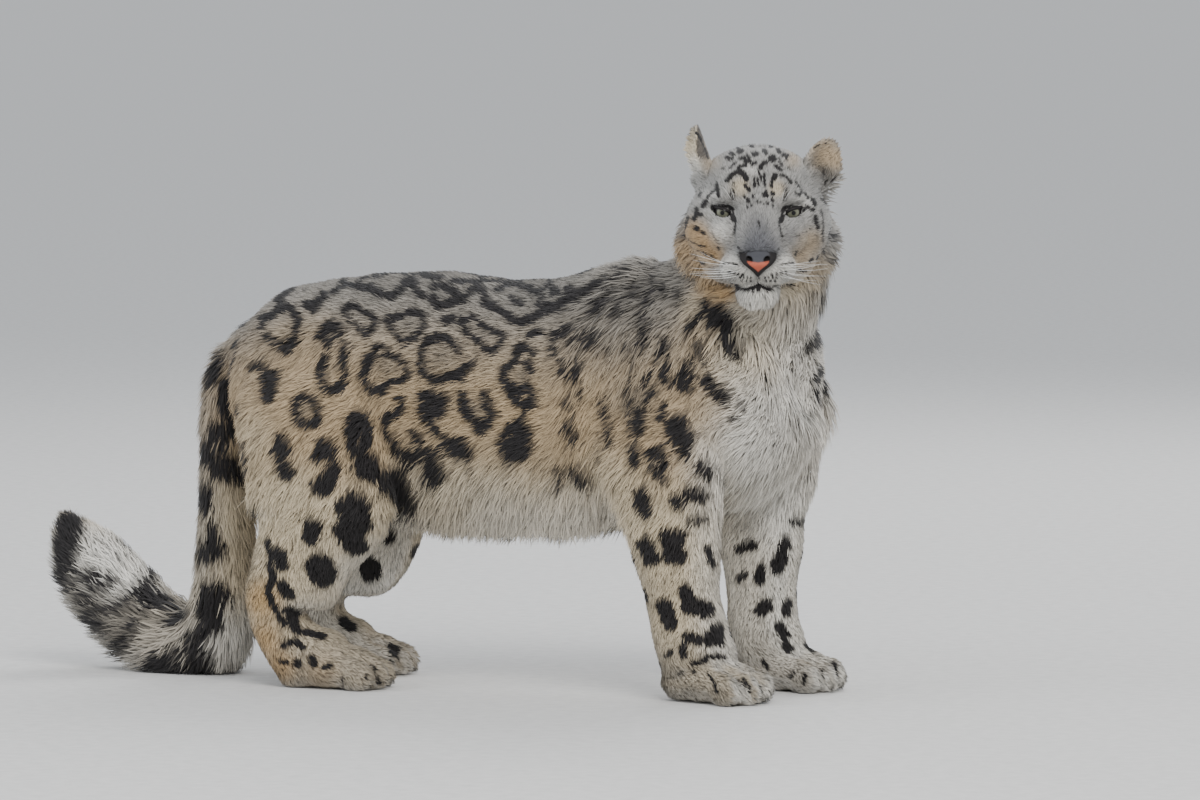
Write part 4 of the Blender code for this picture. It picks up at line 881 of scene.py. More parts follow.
# The head's marks, and a few strokes of painted shade, are read off an enlargement of the photograph: its left and top
# edges and its scale
HEAD_PICTURE = (665.0, 115.0, 7.468)
CROWN_BELOW = 170.0
HEAD_LINES = (
    (30, 1, 492, 284, 505, 292), (28, 1, 548, 252, 556, 257), (34, 1, 600, 228, 605, 255), (30, 1, 548, 275, 575, 270),
    (26, 1, 645, 236, 652, 240), (30, 0.9, 700, 228, 712, 234), (32, 1, 838, 264, 856, 276), (28, 0.9, 788, 240, 796, 245),
    (28, 1, 884, 292, 915, 302), (30, 1, 738, 265, 752, 285), (40, 1, 668, 292, 676, 290), (16, 1, 405, 242, 418, 262),
    (34, 1, 463, 320, 475, 325), (20, 1, 500, 325, 505, 325), (28, 1, 566, 324, 590, 316), (26, 1, 615, 303, 630, 320),
    (28, 1, 603, 347, 632, 340), (20, 1, 780, 305, 800, 296, 820, 305, 824, 325, 806, 342, 782, 336, 778, 312),
    (24, 0.8, 800, 318, 802, 320), (14, 1, 850, 318, 856, 330), (34, 1, 735, 357, 752, 350), (24, 1, 550, 387, 580, 376, 602, 372),
    (26, 1, 648, 368, 674, 352), (26, 1, 822, 373, 850, 395, 868, 406), (18, 1, 850, 345, 878, 372), (14, 0.9, 903, 323, 917, 337),
    (14, 0.9, 925, 388, 935, 407), (14, 0.9, 478, 397, 505, 372, 532, 350), (10, 0.7, 418, 402, 447, 384),
    (24, 0.9, 712, 378, 722, 398), (16, 0.7, 698, 400, 705, 440), (14, 0.9, 668, 468, 666, 532), (12, 0.8, 690, 465, 700, 522),
    (14, 0.9, 738, 438, 745, 522), (12, 0.9, 716, 450, 718, 490), (26, 1, 463, 485, 490, 455, 520, 432, 553, 417),
    (34, 1, 562, 422, 590, 440, 607, 472), (18, 1, 603, 515, 605, 537), (22, 1, 625, 550, 628, 562), (16, 1, 588, 598, 590, 615),
    (22, 1, 617, 627, 622, 645), (16, 1, 655, 600, 657, 612), (14, 0.9, 611, 680, 614, 687), (12, 0.8, 645, 668, 647, 672),
    (34, 1, 814, 468, 824, 447), (18, 1, 868, 445, 900, 455, 925, 480, 942, 502), (20, 1, 798, 498, 797, 532),
    (22, 1, 800, 578, 805, 586), (20, 1, 799, 628, 802, 637), (18, 1, 753, 568, 762, 602), (16, 1, 733, 588, 741, 602),
    (18, 1, 764, 653, 768, 662), (10, 0.8, 740, 658, 742, 664), (12, 0.9, 804, 668, 808, 676), (12, 0.7, 690, 640, 692, 646),
    (10, 0.7, 712, 648, 713, 652), (12, 0.6, 702, 795, 706, 825), (22, 1, 385, 515, 388, 560, 400, 600),
    (16, 1, 383, 545, 350, 575, 325, 600, 305, 640), (30, 1, 300, 650, 285, 675), (20, 1, 263, 587, 257, 600),
    (14, 0.95, 975, 495, 1000, 530, 1020, 560, 1050, 590, 1072, 622), (14, 1, 975, 578, 1004, 600, 1020, 580),
    (26, 1, 1103, 630, 1115, 655), (20, 1, 1058, 680, 1085, 695, 1107, 707), (9, 0.9, 1165, 700, 1178, 760, 1186, 850),
    (24, 1, 1126, 760, 1135, 800, 1147, 842), (14, 0.9, 1180, 870, 1183, 935), (20, 0.8, 1178, 1010, 1192, 1015),
    (26, 1, 236, 700, 232, 750), (22, 1, 262, 740, 270, 746), (16, 0.95, 181, 668, 177, 690), (24, 1, 167, 770, 160, 800),
    (20, 1, 152, 830, 147, 872), (26, 1, 213, 773, 219, 780), (30, 1, 229, 840, 237, 850), (20, 1, 277, 877, 287, 886),
    (32, 1, 116, 912, 132, 920), (14, 0.8, 393, 990, 400, 1002), (14, 1, 547, 988, 549, 992), (12, 1, 848, 998, 849, 1004),
    (14, 1, 500, 738, 518, 765, 526, 800), (14, 0.9, 523, 815, 518, 860, 511, 887), (14, 1, 880, 738, 862, 770, 855, 802),
    (10, 0.9, 860, 822, 868, 872, 881, 907), (10, 1, 345, 690, 400, 687, 470, 689, 503, 712, 522, 770),
    (10, 1, 868, 745, 890, 702, 940, 690, 1000, 704, 1040, 714), (10, 0.9, 345, 690, 380, 736, 430, 762, 490, 777, 518, 792),
    (10, 0.9, 865, 790, 930, 766, 990, 746, 1036, 716),
    (26, 1, 484, 738, 506, 760, 518, 785), (26, 1, 903, 738, 880, 760, 869, 785), (20, 1, 350, 684, 400, 678, 470, 682, 505, 706),
    # The two broad faint strokes of strength 0.42 are painted shade along the brow ridges; the faint strokes of
    # strength 0.30-0.46 after them, on the cheeks, are darker streaks in the fur, partly painted shade.
    (20, 1, 878, 718, 892, 694, 940, 682, 1000, 696, 1040, 710), (28, 0.42, 520, 510, 500, 560, 498, 620),
    (28, 0.42, 890, 520, 906, 570, 900, 630), (16, 0.44, 180, 930, 235, 965, 290, 985),
    (20, 0.44, 250, 1010, 330, 1050, 380, 1085), (18, 0.46, 170, 1120, 240, 1180), (18, 0.46, 300, 1180, 370, 1230),
    (16, 0.38, 350, 880, 380, 930, 400, 960), (16, 0.30, 990, 900, 1040, 880, 1090, 850),
    (34, 1, 488, 1238, 508, 1268, 540, 1290), (38, 1, 850, 1285, 885, 1272, 940, 1262), (30, 1, 505, 1255, 530, 1280),
    (30, 1, 868, 1280, 900, 1268),
    (22, 1, 540, 1300, 600, 1306, 660, 1291, 697, 1272, 740, 1291, 800, 1306, 860, 1298), (11, 1, 692, 1205, 692, 1265),
    (24, 0.7, 697, 1300, 697, 1318), (13, 0.9, 612, 1325, 616, 1327), (13, 0.9, 653, 1320, 657, 1322), (15, 0.9, 763, 1324, 767, 1328),
    (12, 0.8, 740, 1358, 743, 1362), (20, 0.6, 250, 1090, 290, 1110), (16, 0.7, 150, 1268, 200, 1290), (14, 0.6, 330, 1250, 400, 1280),
    (26, 0.8, 412, 1252, 478, 1288), (18, 0.7, 1085, 1092, 1102, 1072), (14, 0.7, 1008, 1160, 1052, 1166),
    (14, 0.6, 974, 1042, 986, 1020), (16, 1, 205, 92, 235, 128, 262, 168, 272, 180), (12, 0.8, 270, 190, 300, 250, 322, 325),
    # The faint stroke from (1148, 390) is painted shade in the cup of the animal's left ear.
    (26, 0.9, 188, 430, 230, 425), (8, 0.8, 1110, 243, 1160, 218, 1210, 206, 1270, 208), (30, 0.40, 1148, 390, 1190, 402, 1200, 480),
    (26, 0.45, 1200, 505, 1258, 492, 1288, 452), (20, 0.9, 1240, 690, 1248, 718), (26, 0.7, 1180, 590, 1238, 640),
)
# Rows of small dots on the muzzle: first and last place, count, width
DOT_ROWS = (
    ((438, 1106), (535, 1116), 4, 15), ((480, 1176), (578, 1198), 4, 17), ((560, 1216), (642, 1216), 4, 13),
    ((575, 1240), (640, 1240), 3, 13), ((880, 1114), (956, 1106), 4, 15), ((800, 1197), (905, 1174), 4, 17),
    ((748, 1216), (832, 1218), 4, 13), ((758, 1240), (822, 1242), 3, 13), ((700, 1222), (701, 1224), 2, 9),
)
# Ground colour where it differs: place, reach, colour, weight; on the body in the photograph's pixels
BODY_ZONES = (
    (745, 350, 30, CREAM, 2.0), (700, 340, 22, BUFF, 1.4), (705, 405, 26, BUFF, 1.5), (760, 440, 44, WHITE, 3.0),
    (765, 500, 30, WHITE, 2.4), (800, 400, 30, WHITE, 1.6), (262, 600, 15, OCHRE, 3.0), (263, 640, 14, OCHRE, 2.4),
    (278, 668, 14, OCHRE, 2.0), (320, 675, 14, BUFF, 2.0), (300, 360, 34, BUFF, 1.5), (350, 400, 40, BUFF, 1.5),
    (330, 440, 40, BUFF, 1.2), (480, 520, 45, WHITE, 1.4), (580, 520, 40, WHITE, 1.4), (250, 440, 22, CREAM, 1.5),
    (290, 490, 24, CREAM, 1.2), (112, 556, 24, WHITE, 6.0), (135, 568, 18, WHITE, 5.0), (440, 500, 30, CREAM, 1.4),
    (545, 450, 34, BUFF, 1.4), (610, 480, 26, CREAM, 1.5), (240, 640, 26, WHITE, 1.5), (620, 320, 36, SMOKE, 1.1),
    (655, 290, 30, SMOKE, 1.0), (632, 400, 18, SMOKE, 1.6), (530, 295, 30, SMOKE, 0.8), (560, 300, 30, SMOKE, 0.6),
    (380, 285, 26, SMOKE, 0.7), (440, 290, 26, SMOKE, 0.8), (88, 582, 20, SMOKE, 2.2), (108, 612, 22, SMOKE, 1.8), (125, 590, 12, SMOKE, 1.4),
    (434, 405, 12, SMOKE, 2.0), (385, 368, 12, SMOKE, 1.4), (476, 410, 9, SMOKE, 1.8), (441, 358, 13, SMOKE, 1.0),
    (406, 327, 9, SMOKE, 1.2), (358, 428, 7, SMOKE, 2.0), (305, 411, 8, SMOKE, 1.6), (330, 370, 8, SMOKE, 1.0),
    (330, 335, 6, SMOKE, 1.2), (522, 376, 9, SMOKE, 1.2), (655, 464, 6, SMOKE, 1.4), (482, 334, 7, SMOKE, 1.0),
)
# The same on the head, in the enlargement's pixels
HEAD_ZONES = (
    (705, 1050, 90, SLATE, 7.0), (705, 970, 92, SLATE, 4.0), (700, 890, 85, SLATE, 1.5), (700, 800, 70, SLATE, 0.7),
    (630, 1010, 50, SLATE, 2.5), (785, 1010, 50, SLATE, 2.5), (200, 880, 80, OCHRE, 2.4), (300, 965, 75, OCHRE, 2.8),
    (370, 1045, 50, OCHRE, 3.0), (140, 1010, 80, OCHRE, 2.2), (250, 1130, 90, OCHRE, 2.0), (330, 1310, 90, OCHRE, 1.8),
    (430, 1350, 60, OCHRE, 2.4), (110, 730, 60, CREAM, 2.0), (120, 820, 50, CREAM, 1.6), (230, 1450, 90, CREAM, 2.0), (1090, 960, 80, BUFF, 2.2),
    (1010, 1060, 60, BUFF, 2.0), (980, 1300, 110, CREAM, 2.0), (1100, 1150, 100, BUFF, 1.8), (590, 1150, 45, WHITE, 3.0),
    (810, 1150, 45, WHITE, 3.0), (480, 1120, 60, WHITE, 2.5), (920, 1120, 60, WHITE, 2.5), (600, 1240, 50, WHITE, 2.0),
    (800, 1240, 50, WHITE, 2.0), (700, 1400, 105, WHITE, 10.0), (610, 1190, 36, WHITE, 4.0), (782, 1190, 36, WHITE, 4.0), (400, 870, 70, WHITE, 1.0), (560, 530, 48, CREAM, 3.0),
    (835, 545, 42, CREAM, 3.0), (340, 600, 40, WHITE, 0.7), (1040, 640, 50, WHITE, 0.7), (620, 400, 50, WHITE, 0.8),
    (200, 230, 100, CREAM, 5.0), (190, 360, 60, WHITE, 4.0), (1180, 290, 80, BUFF, 4.0), (1270, 330, 60, BUFF, 3.0),
    # The SMOKE zone at (1190, 430) is painted shade in the cup of the animal's left ear.
    (1190, 430, 60, SMOKE, 4.0), (330, 350, 60, BUFF, 1.0), (960, 330, 50, BUFF, 1.0), (950, 900, 70, SLATE, 0.5),
)


def camera_axes():
    a, e = CAMERA_HEADING, CAMERA_DROP
    right = np.array([math.cos(a), math.sin(a), 0.0])
    ahead = np.array([-math.sin(a) * math.cos(e), math.cos(a) * math.cos(e), -math.sin(e)])
    return right, np.cross(right, ahead), ahead


def camera_place():
    return LOOK_AT - Vector(camera_axes()[2]) * CAMERA_FAR


class MarksAndShade:
    """Dark marks, and painted shade along folds and creases, set on the skin by where they show, with twins on the side
    that is turned away.
    """

    def __init__(self, skin, depths):
        points, normals = mesh_arrays(skin.data)
        surface = points + normals * depths[:, None] * COAT_SURFACE
        polygons = [tuple(face.vertices) for face in skin.data.polygons]
        self.tree = BVHTree.FromPolygons([Vector(place) for place in surface], polygons)
        self.right, self.up, self.ahead = camera_axes()
        self.eye = np.array(camera_place())
        self.pixels = LENS / 36.0 * PHOTO_SIZE[0]
        self.spots, self.zones = [], []
        left, top, scale = HEAD_PICTURE
        for width, strength, *places in BODY_LINES:
            self.add_line(width, strength, list(zip(places[::2], places[1::2])))
        for width, strength, *places in HEAD_LINES:
            found = [(left + x / scale, top + y / scale) for x, y in zip(places[::2], places[1::2])]
            self.add_line(width / scale, strength, found)
        for (x0, y0), (x1, y1), count, width in DOT_ROWS:
            for k in range(count):
                f = k / (count - 1)
                x, y = left + (x0 + (x1 - x0) * f) / scale, top + (y0 + (y1 - y0) * f) / scale
                self.add_line(width / scale, 0.95, [(x, y), (x + 0.1, y)])
        zones = [(x, y, reach, colour, weight) for x, y, reach, colour, weight in BODY_ZONES]
        zones += [(left + x / scale, top + y / scale, reach / scale, colour, weight)
                  for x, y, reach, colour, weight in HEAD_ZONES]
        for x, y, reach, colour, weight in zones:
            place, _, size = self.on_skin(x, y)
            if place is not None:
                self.zones.append((place, reach * size, colour, weight, self.ahead))
                if x < 650:
                    twin = place * (1, -1, 1)
                    self.zones.append((twin, reach * size, colour, weight, self.ahead * (1, -1, 1)))
        self.fill_hidden(skin)
        # Painted shade along the creases between the toes, where the skin is sunk.
        for line, way in toe_creases():
            for start, end in zip(line, line[1:]):
                self.spots.append((start, end, CREASE_WIDTH / 2, 0.75, way, 0.009))

    def on_skin(self, x, y):
        """Where the line of sight through a place in the photograph meets the skin, and metres a pixel."""
        way = self.ahead + self.right * (x - PHOTO_SIZE[0] / 2) / self.pixels
        way = way + self.up * (PHOTO_SIZE[1] / 2 - y) / self.pixels
        hit, normal, _, away = self.tree.ray_cast(Vector(self.eye), Vector(way).normalized())
        if hit is None:
            return None, None, None
        return np.array(hit), np.array(normal), away / self.pixels

    def add_line(self, width, strength, places):
        """A dark line along places in the photograph, as thick as it shows there; most are marks, a few are painted
        shade.
        """
        found = [self.on_skin(x, y) for x, y in places]
        for (start, normal, size), (end, _, _) in zip(found, found[1:]):
            if start is None or end is None or np.linalg.norm(start - end) > 0.06:
                continue
            on_head = np.linalg.norm(start - np.array(EYES_AT)) < 0.13
            bold = on_head and places[0][1] > CROWN_BELOW or start[0] < -0.50
            radius = width * size / 2 * (1.4 if bold else 1.15)
            room = (0.007 if on_head else 0.014) / max(abs(self.ahead @ normal), 0.4)
            self.spots.append((start, end, radius, strength, self.ahead, room))
            if places[0][1] > 272 and places[0][0] < 760 and not on_head:
                self.add_twin(start, end, radius, strength, places[0], room)

    def add_twin(self, start, end, radius, strength, seed, room):
        """The same mark on the other side, a little out of place, as no two flanks match."""
        chance = random.Random(int(seed[0] // 28) * 131 + int(seed[1] // 28))
        shift = np.array([0.010 + chance.uniform(-0.008, 0.008), 0.012, chance.uniform(-0.008, 0.008)])
        near, normal, _, _ = self.tree.find_nearest(Vector(start * (1, -1, 1) + shift))
        far = self.tree.find_nearest(Vector(end * (1, -1, 1) + shift))[0]
        if normal.y > 0.1:
            self.spots.append((np.array(near), np.array(far), radius, strength, self.ahead * (1, -1, 1), room))

    def fill_hidden(self, skin):
        """Spots and open rosettes of the species where neither the photograph nor a twin puts one."""
        chance = random.Random(23)
        polygons = skin.data.polygons
        back = head_frame().inverted()
        centres = [(spot[0] + spot[1]) / 2 for spot in self.spots]
        for _ in range(45000):
            face = polygons[chance.randrange(len(polygons))]
            place, normal = np.array(face.center), np.array(face.normal)
            local = back @ Vector(place)
            head = local.length < 0.15
            if local.z > 0.030 and abs(local.y) > 0.045 and head:
                continue
            if self.ahead @ normal < -0.15 or place[2] < 0.03 or normal[2] < -0.5 or head and local.x > -0.02:
                continue
            leg = place[2] < 0.24
            room = 0.020 if head else 0.034 if leg else 0.046
            if np.abs(np.array(centres) - place).max(axis=1).min() < room:
                continue
            along = unit(np.cross(normal, (0.3, 0.1, 1.0))[None])[0]
            across = np.cross(normal, along)
            centres.append(place)
            if head or leg or chance.random() < 0.4:
                reach = along * room * chance.uniform(0.05, 0.2)
                self.spots.append((place - reach, place + reach, room * 0.27, 0.95, normal, 0.017))
                continue
            wide, high, open_at = room * 0.40, room * chance.uniform(0.40, 0.55), chance.randrange(8)
            ring = []
            for k in range(9):
                turn = 2 * math.pi * k / 8
                jitter = chance.uniform(0.85, 1.15)
                ring.append(place + (along * math.cos(turn) * wide + across * math.sin(turn) * high) * jitter)
            for k in range(8):
                if k != open_at:
                    self.spots.append((ring[k], ring[k + 1], 0.0055, 0.95, normal, 0.024))

    def ink(self, points):
        """How dark each point is."""
        order = np.argsort(points[:, 0])
        places = points[order]
        warp = (noise3(places, 0.011, 5) - 0.5) * 0.36 + (noise3(places, 0.005, 9) - 0.5) * 0.26
        ink = np.zeros(len(points))
        for start, end, radius, strength, way, room in self.spots:
            reach = radius * 1.45 + room
            low, high = np.minimum(start, end) - reach, np.maximum(start, end) + reach
            first, last = np.searchsorted(places[:, 0], (low[0], high[0]))
            near = first + np.flatnonzero((places[first:last, 2] > low[2]) & (places[first:last, 2] < high[2]))
            if len(near) == 0:
                continue
            off, along = places[near] - start, end - start
            share = np.clip(off @ along / max(along @ along, 1e-12), 0, 1)
            off = off - share[:, None] * along
            deep = off @ way
            beyond = np.maximum(abs(deep) - room, 0)
            away = np.sqrt(np.maximum((off * off).sum(axis=1) - deep**2, 0) + beyond**2) / radius
            away += warp[near] * min(1.0, radius / 0.006)
            ink[near] = np.maximum(ink[near], (1 - ramp(away, 0.85, 1.2)) * strength)
        back = np.empty(len(points), np.int64)
        back[order] = np.arange(len(points))
        return ink[back]

    def ground(self, points, normals):
        """The colour of the coat between the spots."""
        x, y, z = points.T
        high = ramp(z + 0.05 * normals[:, 2], 0.36, 0.56)
        low = ramp(-z, -0.33, -0.22)
        under = ramp(-normals[:, 2], 0.0, 0.7)
        colour = mix(np.array([BUFF]), np.array([GREY]), high)
        colour = mix(colour, np.array([CREAM]), np.clip(low + 0.4 * under, 0, 1))
        inner_leg = ramp(-np.sign(y) * normals[:, 1], 0.1, 0.8) * ramp(-z, -0.30, -0.20)
        colour = mix(colour, np.array([WHITE]), np.clip(0.6 * inner_leg + 0.6 * under * low, 0, 1))
        colour = mix(colour, np.array([GREY]), 0.55 * ramp(-z, -0.12, -0.02))
        colour = mix(colour, np.array([GREY]) * 1.25, 0.6 * ramp(-x, 0.50, 0.56))
        head = 1 - ramp(np.linalg.norm(points - np.array(EYES_AT), axis=1), 0.10, 0.16)
        colour = mix(colour, np.array([FACE]), head)
        front = ramp(x, 0.14, 0.22) * ramp(normals[:, 0], 0.0, 0.7) * ramp(-z, -0.56, -0.46)
        colour = mix(colour, np.array([WHITE]), 0.7 * front)
        total = np.ones((len(points), 1))
        for place, reach, shade, weight, way in self.zones:
            off = points - place
            deep = off @ way
            away = ((off * off).sum(axis=1) - deep**2) / reach**2 + (deep / ZONE_DEPTH) ** 2
            share = weight * np.exp(-away)[:, None]
            colour = colour + share * np.array([shade])
            total = total + share
        return mix(colour / total, np.array([DARK]) * 3, 0.85 * ear_backs(points, normals))

    def colours(self, points, normals):
        """Ground, with the coat's own unevenness, and the darkness of spots, lines and painted shade."""
        colour = self.ground(points, normals)
        patchy = 0.78 + 0.20 * noise3(points, 0.030, 2) + 0.12 * noise3(points, 0.008, 3) + 0.16 * noise3(points, 0.0032, 4)
        return colour * patchy[:, None], self.ink(points)


def ear_backs(points, normals):
    """How far each point is on the dark outside of an ear, round its pale middle."""
    place = transformed(points, head_frame().inverted())
    way = normals @ np.array(head_frame())[:3, :3]
    found = np.zeros(len(points))
    for base, up, facing in EARS.values():
        up, facing = unit(np.array([up, facing]))
        off = place - base
        middle = np.linalg.norm(off - up * 0.028, axis=1)
        pale = 1 - 0.8 * (1 - ramp(middle, 0.010, 0.017))
        behind = ramp(-(way @ facing), 0.1, 0.5) * ramp(off @ up, 0.006, 0.018)
        found = np.maximum(found, behind * pale * (middle < 0.040))
    return found


def mix(first, second, share):
    share = np.asarray(share)[:, None]
    return first * (1 - share) + second * share

# ------- coat


def triangles_of(mesh):
    mesh.calc_loop_triangles()
    corners = np.empty(len(mesh.loop_triangles) * 3, np.int64)
    mesh.loop_triangles.foreach_get("vertices", corners)
    loops = np.empty(len(mesh.loop_triangles) * 3, np.int64)
    mesh.loop_triangles.foreach_get("loops", loops)
    return corners.reshape(-1, 3), loops.reshape(-1, 3)


def nose_half_width(z):
    """Half the width of the leather at each height, in the head's frame."""
    heights, halves = zip(*[(row[2], row[3]) for row in reversed(NOSE_LEATHER)])
    return np.interp(z, heights, halves)


def bare_skin(points):
    """Where no coat grows: the nose and the eyes, in the head's frame."""
    local = transformed(points, head_frame().inverted())
    bare = np.zeros(len(points), bool)
    for side in (LEFT, RIGHT):
        place = transformed(points, eye_turned(side).inverted())
        across, up = place[:, 1] / (LID_WIDTH * 0.58), (place[:, 2] - 0.0002) / (LID_HEIGHT * 0.63)
        bare |= (across**2 + up**2 < 1.0) & (place[:, 0] > 0.0)
    low = (local[:, 2] < -0.0575) & (local[:, 2] > -0.0760) & (local[:, 0] > 0.045)
    bare |= low & (abs(local[:, 1]) < nose_half_width(local[:, 2]) + 0.0004)
    return bare


def sample_roots(skin, values, chance):
    """Roots spread over the skin as densely as its guides ask."""
    points, normals = mesh_arrays(skin.data)
    corners, loops = triangles_of(skin.data)
    a, b, c = (points[corners[:, k]] for k in range(3))
    area = np.linalg.norm(np.cross(b - a, c - a), axis=1) / 2
    density = values[corners, DENSITY].mean(axis=1)
    expected = area * density * COAT_SHARE
    count = int(expected.sum())
    edges = np.cumsum(expected) / expected.sum()
    draws = (np.arange(count) + chance.random_sample(count)) / count
    chosen = np.searchsorted(edges, draws).clip(0, len(corners) - 1)
    u, v = chance.random_sample(count), chance.random_sample(count)
    flip = u + v > 1
    u[flip], v[flip] = 1 - u[flip], 1 - v[flip]
    shares = np.stack([1 - u - v, u, v], axis=1)[:, :, None]
    roots = (points[corners[chosen]] * shares).sum(axis=1)
    facing = unit((normals[corners[chosen]] * shares).sum(axis=1))
    sizes = (values[corners[chosen]] * shares).sum(axis=1)
    uv = np.empty(len(skin.data.loops) * 2)
    skin.data.uv_layers["OFBake"].data.foreach_get("uv", uv)
    places = (uv.reshape(-1, 2)[loops[chosen]] * shares).sum(axis=1)
    return roots, facing, sizes, places


def tuft_rings(kind):
    """Shares along a tuft, and of its width, at its rings."""
    return {"long": ((0.34, 1.0), (0.72, 0.72)), "middle": ((0.45, 1.0),), "short": ((0.45, 1.0),)}[kind]


def tufts(name, roots, facing, sizes, places, marks_and_shade, chance, kind):
    """One mesh of closed, flat, tapering tufts that lift off the skin and lie down along it."""
    count = len(roots)
    lie = sizes[:, :3] + CLUMPING * noise_vectors(roots, 0.016, 40) + 0.5 * CLUMPING * noise_vectors(roots, 0.006, 50)
    lie = unit(lie - facing * (lie * facing).sum(axis=1, keepdims=True))
    across = np.cross(facing, lie)
    length = (sizes[:, LENGTH] * chance.uniform(0.72, 1.18, count))[:, None]
    relief = 0.72 + 0.45 * noise3(roots, 0.018, 60) + chance.uniform(-0.18, 0.18, count)
    height = (sizes[:, DEPTH] * relief)[:, None]
    width = (sizes[:, WIDTH] * chance.uniform(0.75, 1.25, count))[:, None]
    swing = (chance.uniform(-0.22, 0.22, count) + 0.30 * (noise3(roots, 0.010, 70) - 0.5))[:, None]
    droop = np.array([[0.0, 0.0, -1.0]]) * np.clip(length - 0.028, 0, 1) * 0.5

    def at(share):
        lift = height * (1 - (1 - share) ** 2) - 0.0012 * (1 - share)
        return roots + lie * length * share + facing * lift + across * swing * length * share**2 + droop * share**2

    rows, shade = [at(0.0)], [0.0]
    flat = kind == "short"
    for share, broad in tuft_rings(kind):
        middle = at(share)
        rows += [middle - across * width / 2 * broad, middle + across * width / 2 * broad]
        shade += [share, share]
        if not flat:
            rows.append(middle + facing * width * 0.30 * broad)
            shade.append(share)
        else:
            rows[1:] = [row + facing * width * 0.22 for row in rows[1:]]
    rows.append(at(1.0))
    shade.append(1.0)
    stride = len(rows)
    points = np.stack(rows, axis=1).reshape(-1, 3)
    points[:, 2] = np.maximum(points[:, 2], 0.0012)
    if flat:
        faces = [(0, 1, 2), (3, 2, 1), (0, 2, 3), (0, 3, 1)]
    else:
        faces = [(0, 2, 1), (0, 3, 2), (0, 1, 3)]
        for low in range(1, stride - 4, 3):
            for a, b in ((0, 1), (1, 2), (2, 0)):
                faces += [(low + a, low + b, low + b + 3), (low + a, low + b + 3, low + a + 3)]
        last = stride - 4
        faces += [(last, last + 1, stride - 1), (last + 1, last + 2, stride - 1), (last + 2, last, stride - 1)]
    faces = np.array(faces)
    faces = (faces[None] + stride * np.arange(count)[:, None, None]).reshape(-1, 3)

    tone = chance.uniform(1 - TONE_SPREAD, 1 + TONE_SPREAD, count)
    tone *= np.where(chance.random_sample(count) < DARK_HAIRS, 0.60, 1.0)
    tone = tone[:, None]
    doubt = chance.uniform(-0.16, 0.16, count)
    black = np.array([DARK]) * (0.7 + 0.9 * chance.uniform(0, 1, count)[:, None])
    ends = []
    for share in (0.0, 1.0):
        seen = roots + lie * length * (0.45 + 0.40 * share) + facing * height * 0.7
        ground, ink = marks_and_shade.colours(seen, facing)
        ends.append(mix(ground * tone, black, ramp(ink + doubt, 0.24, 0.52)))
    share = np.array(shade)[None, :, None]
    colours = ends[0][:, None] * (1 - share) + ends[1][:, None] * share
    colours *= ROOT_SHADE + (1.05 - ROOT_SHADE) * share**0.7

    mesh = bpy.data.meshes.new(name)
    mesh.vertices.add(len(points))
    mesh.vertices.foreach_set("co", points.astype(np.float32).ravel())
    mesh.loops.add(faces.size)
    mesh.loops.foreach_set("vertex_index", faces.astype(np.int32).ravel())
    mesh.polygons.add(len(faces))
    mesh.polygons.foreach_set("loop_start", np.arange(0, faces.size, 3, dtype=np.int32))
    mesh.update(calc_edges=True)
    mesh.polygons.foreach_set("use_smooth", np.ones(len(faces), bool))
    paint(mesh, colours.reshape(-1, 3))
    soft = np.repeat(facing[:, None] + 0.25 * lie[:, None], stride, axis=1)
    step = 2 if flat else 3
    soft[:, 1:stride - 1:step] -= 0.35 * across[:, None]
    soft[:, 2:stride - 1:step] += 0.35 * across[:, None]
    mesh.normals_split_custom_set_from_vertices(unit(soft.reshape(-1, 3)).astype(np.float32))
    layer = mesh.uv_layers.new(name="OFBake")
    ring = [[-1, 0], [1, 0]] if flat else [[-1, 0], [1, 0], [0, 0.2]]
    spread = UV_PATCH / 2 * np.array([[0, -1]] + ring * len(tuft_rings(kind)) + [[0, 1]])
    uv = (places[:, None, :] + spread[None]).reshape(-1, 2)
    layer.data.foreach_set("uv", uv[faces.ravel()].astype(np.float32).ravel())
    return as_object(name, mesh)


def paint(mesh, colours):
    layer = mesh.color_attributes.new(name="coat", type="FLOAT_COLOR", domain="POINT")
    filled = np.ones((len(colours), 4), np.float32)
    filled[:, :3] = colours
    layer.data.foreach_set("color", filled.ravel())
    mesh.attributes.active_color = layer


def coat_pieces(skin, values, marks_and_shade):
    """The coat over the whole skin, in pieces that each stay small."""
    chance = np.random.RandomState(41)
    roots, facing, sizes, places = sample_roots(skin, values, chance)
    growing = ~bare_skin(roots) & (roots[:, 2] > 0.004) & ((facing[:, 2] > -0.80) | (roots[:, 2] > 0.03))
    made = []
    longest = 0.0
    for label, limit in COAT_KINDS.items():
        wanted = growing & (sizes[:, LENGTH] > longest) & (sizes[:, LENGTH] <= limit)
        longest = limit
        chosen = np.flatnonzero(wanted)
        chosen = chosen[np.argsort(roots[chosen, 0])]
        per_piece = TUFTS_PER_PIECE[label]
        number = math.ceil(len(chosen) / per_piece)
        for k, part in enumerate(np.array_split(chosen, number), 1):
            made.append(tufts(f"coat_{label}_{k}", roots[part], facing[part], sizes[part], places[part],
                              marks_and_shade, chance, label))
        print(label, len(chosen), "tufts in", number, "pieces")
    return made


# ------- eyes, nose and whiskers


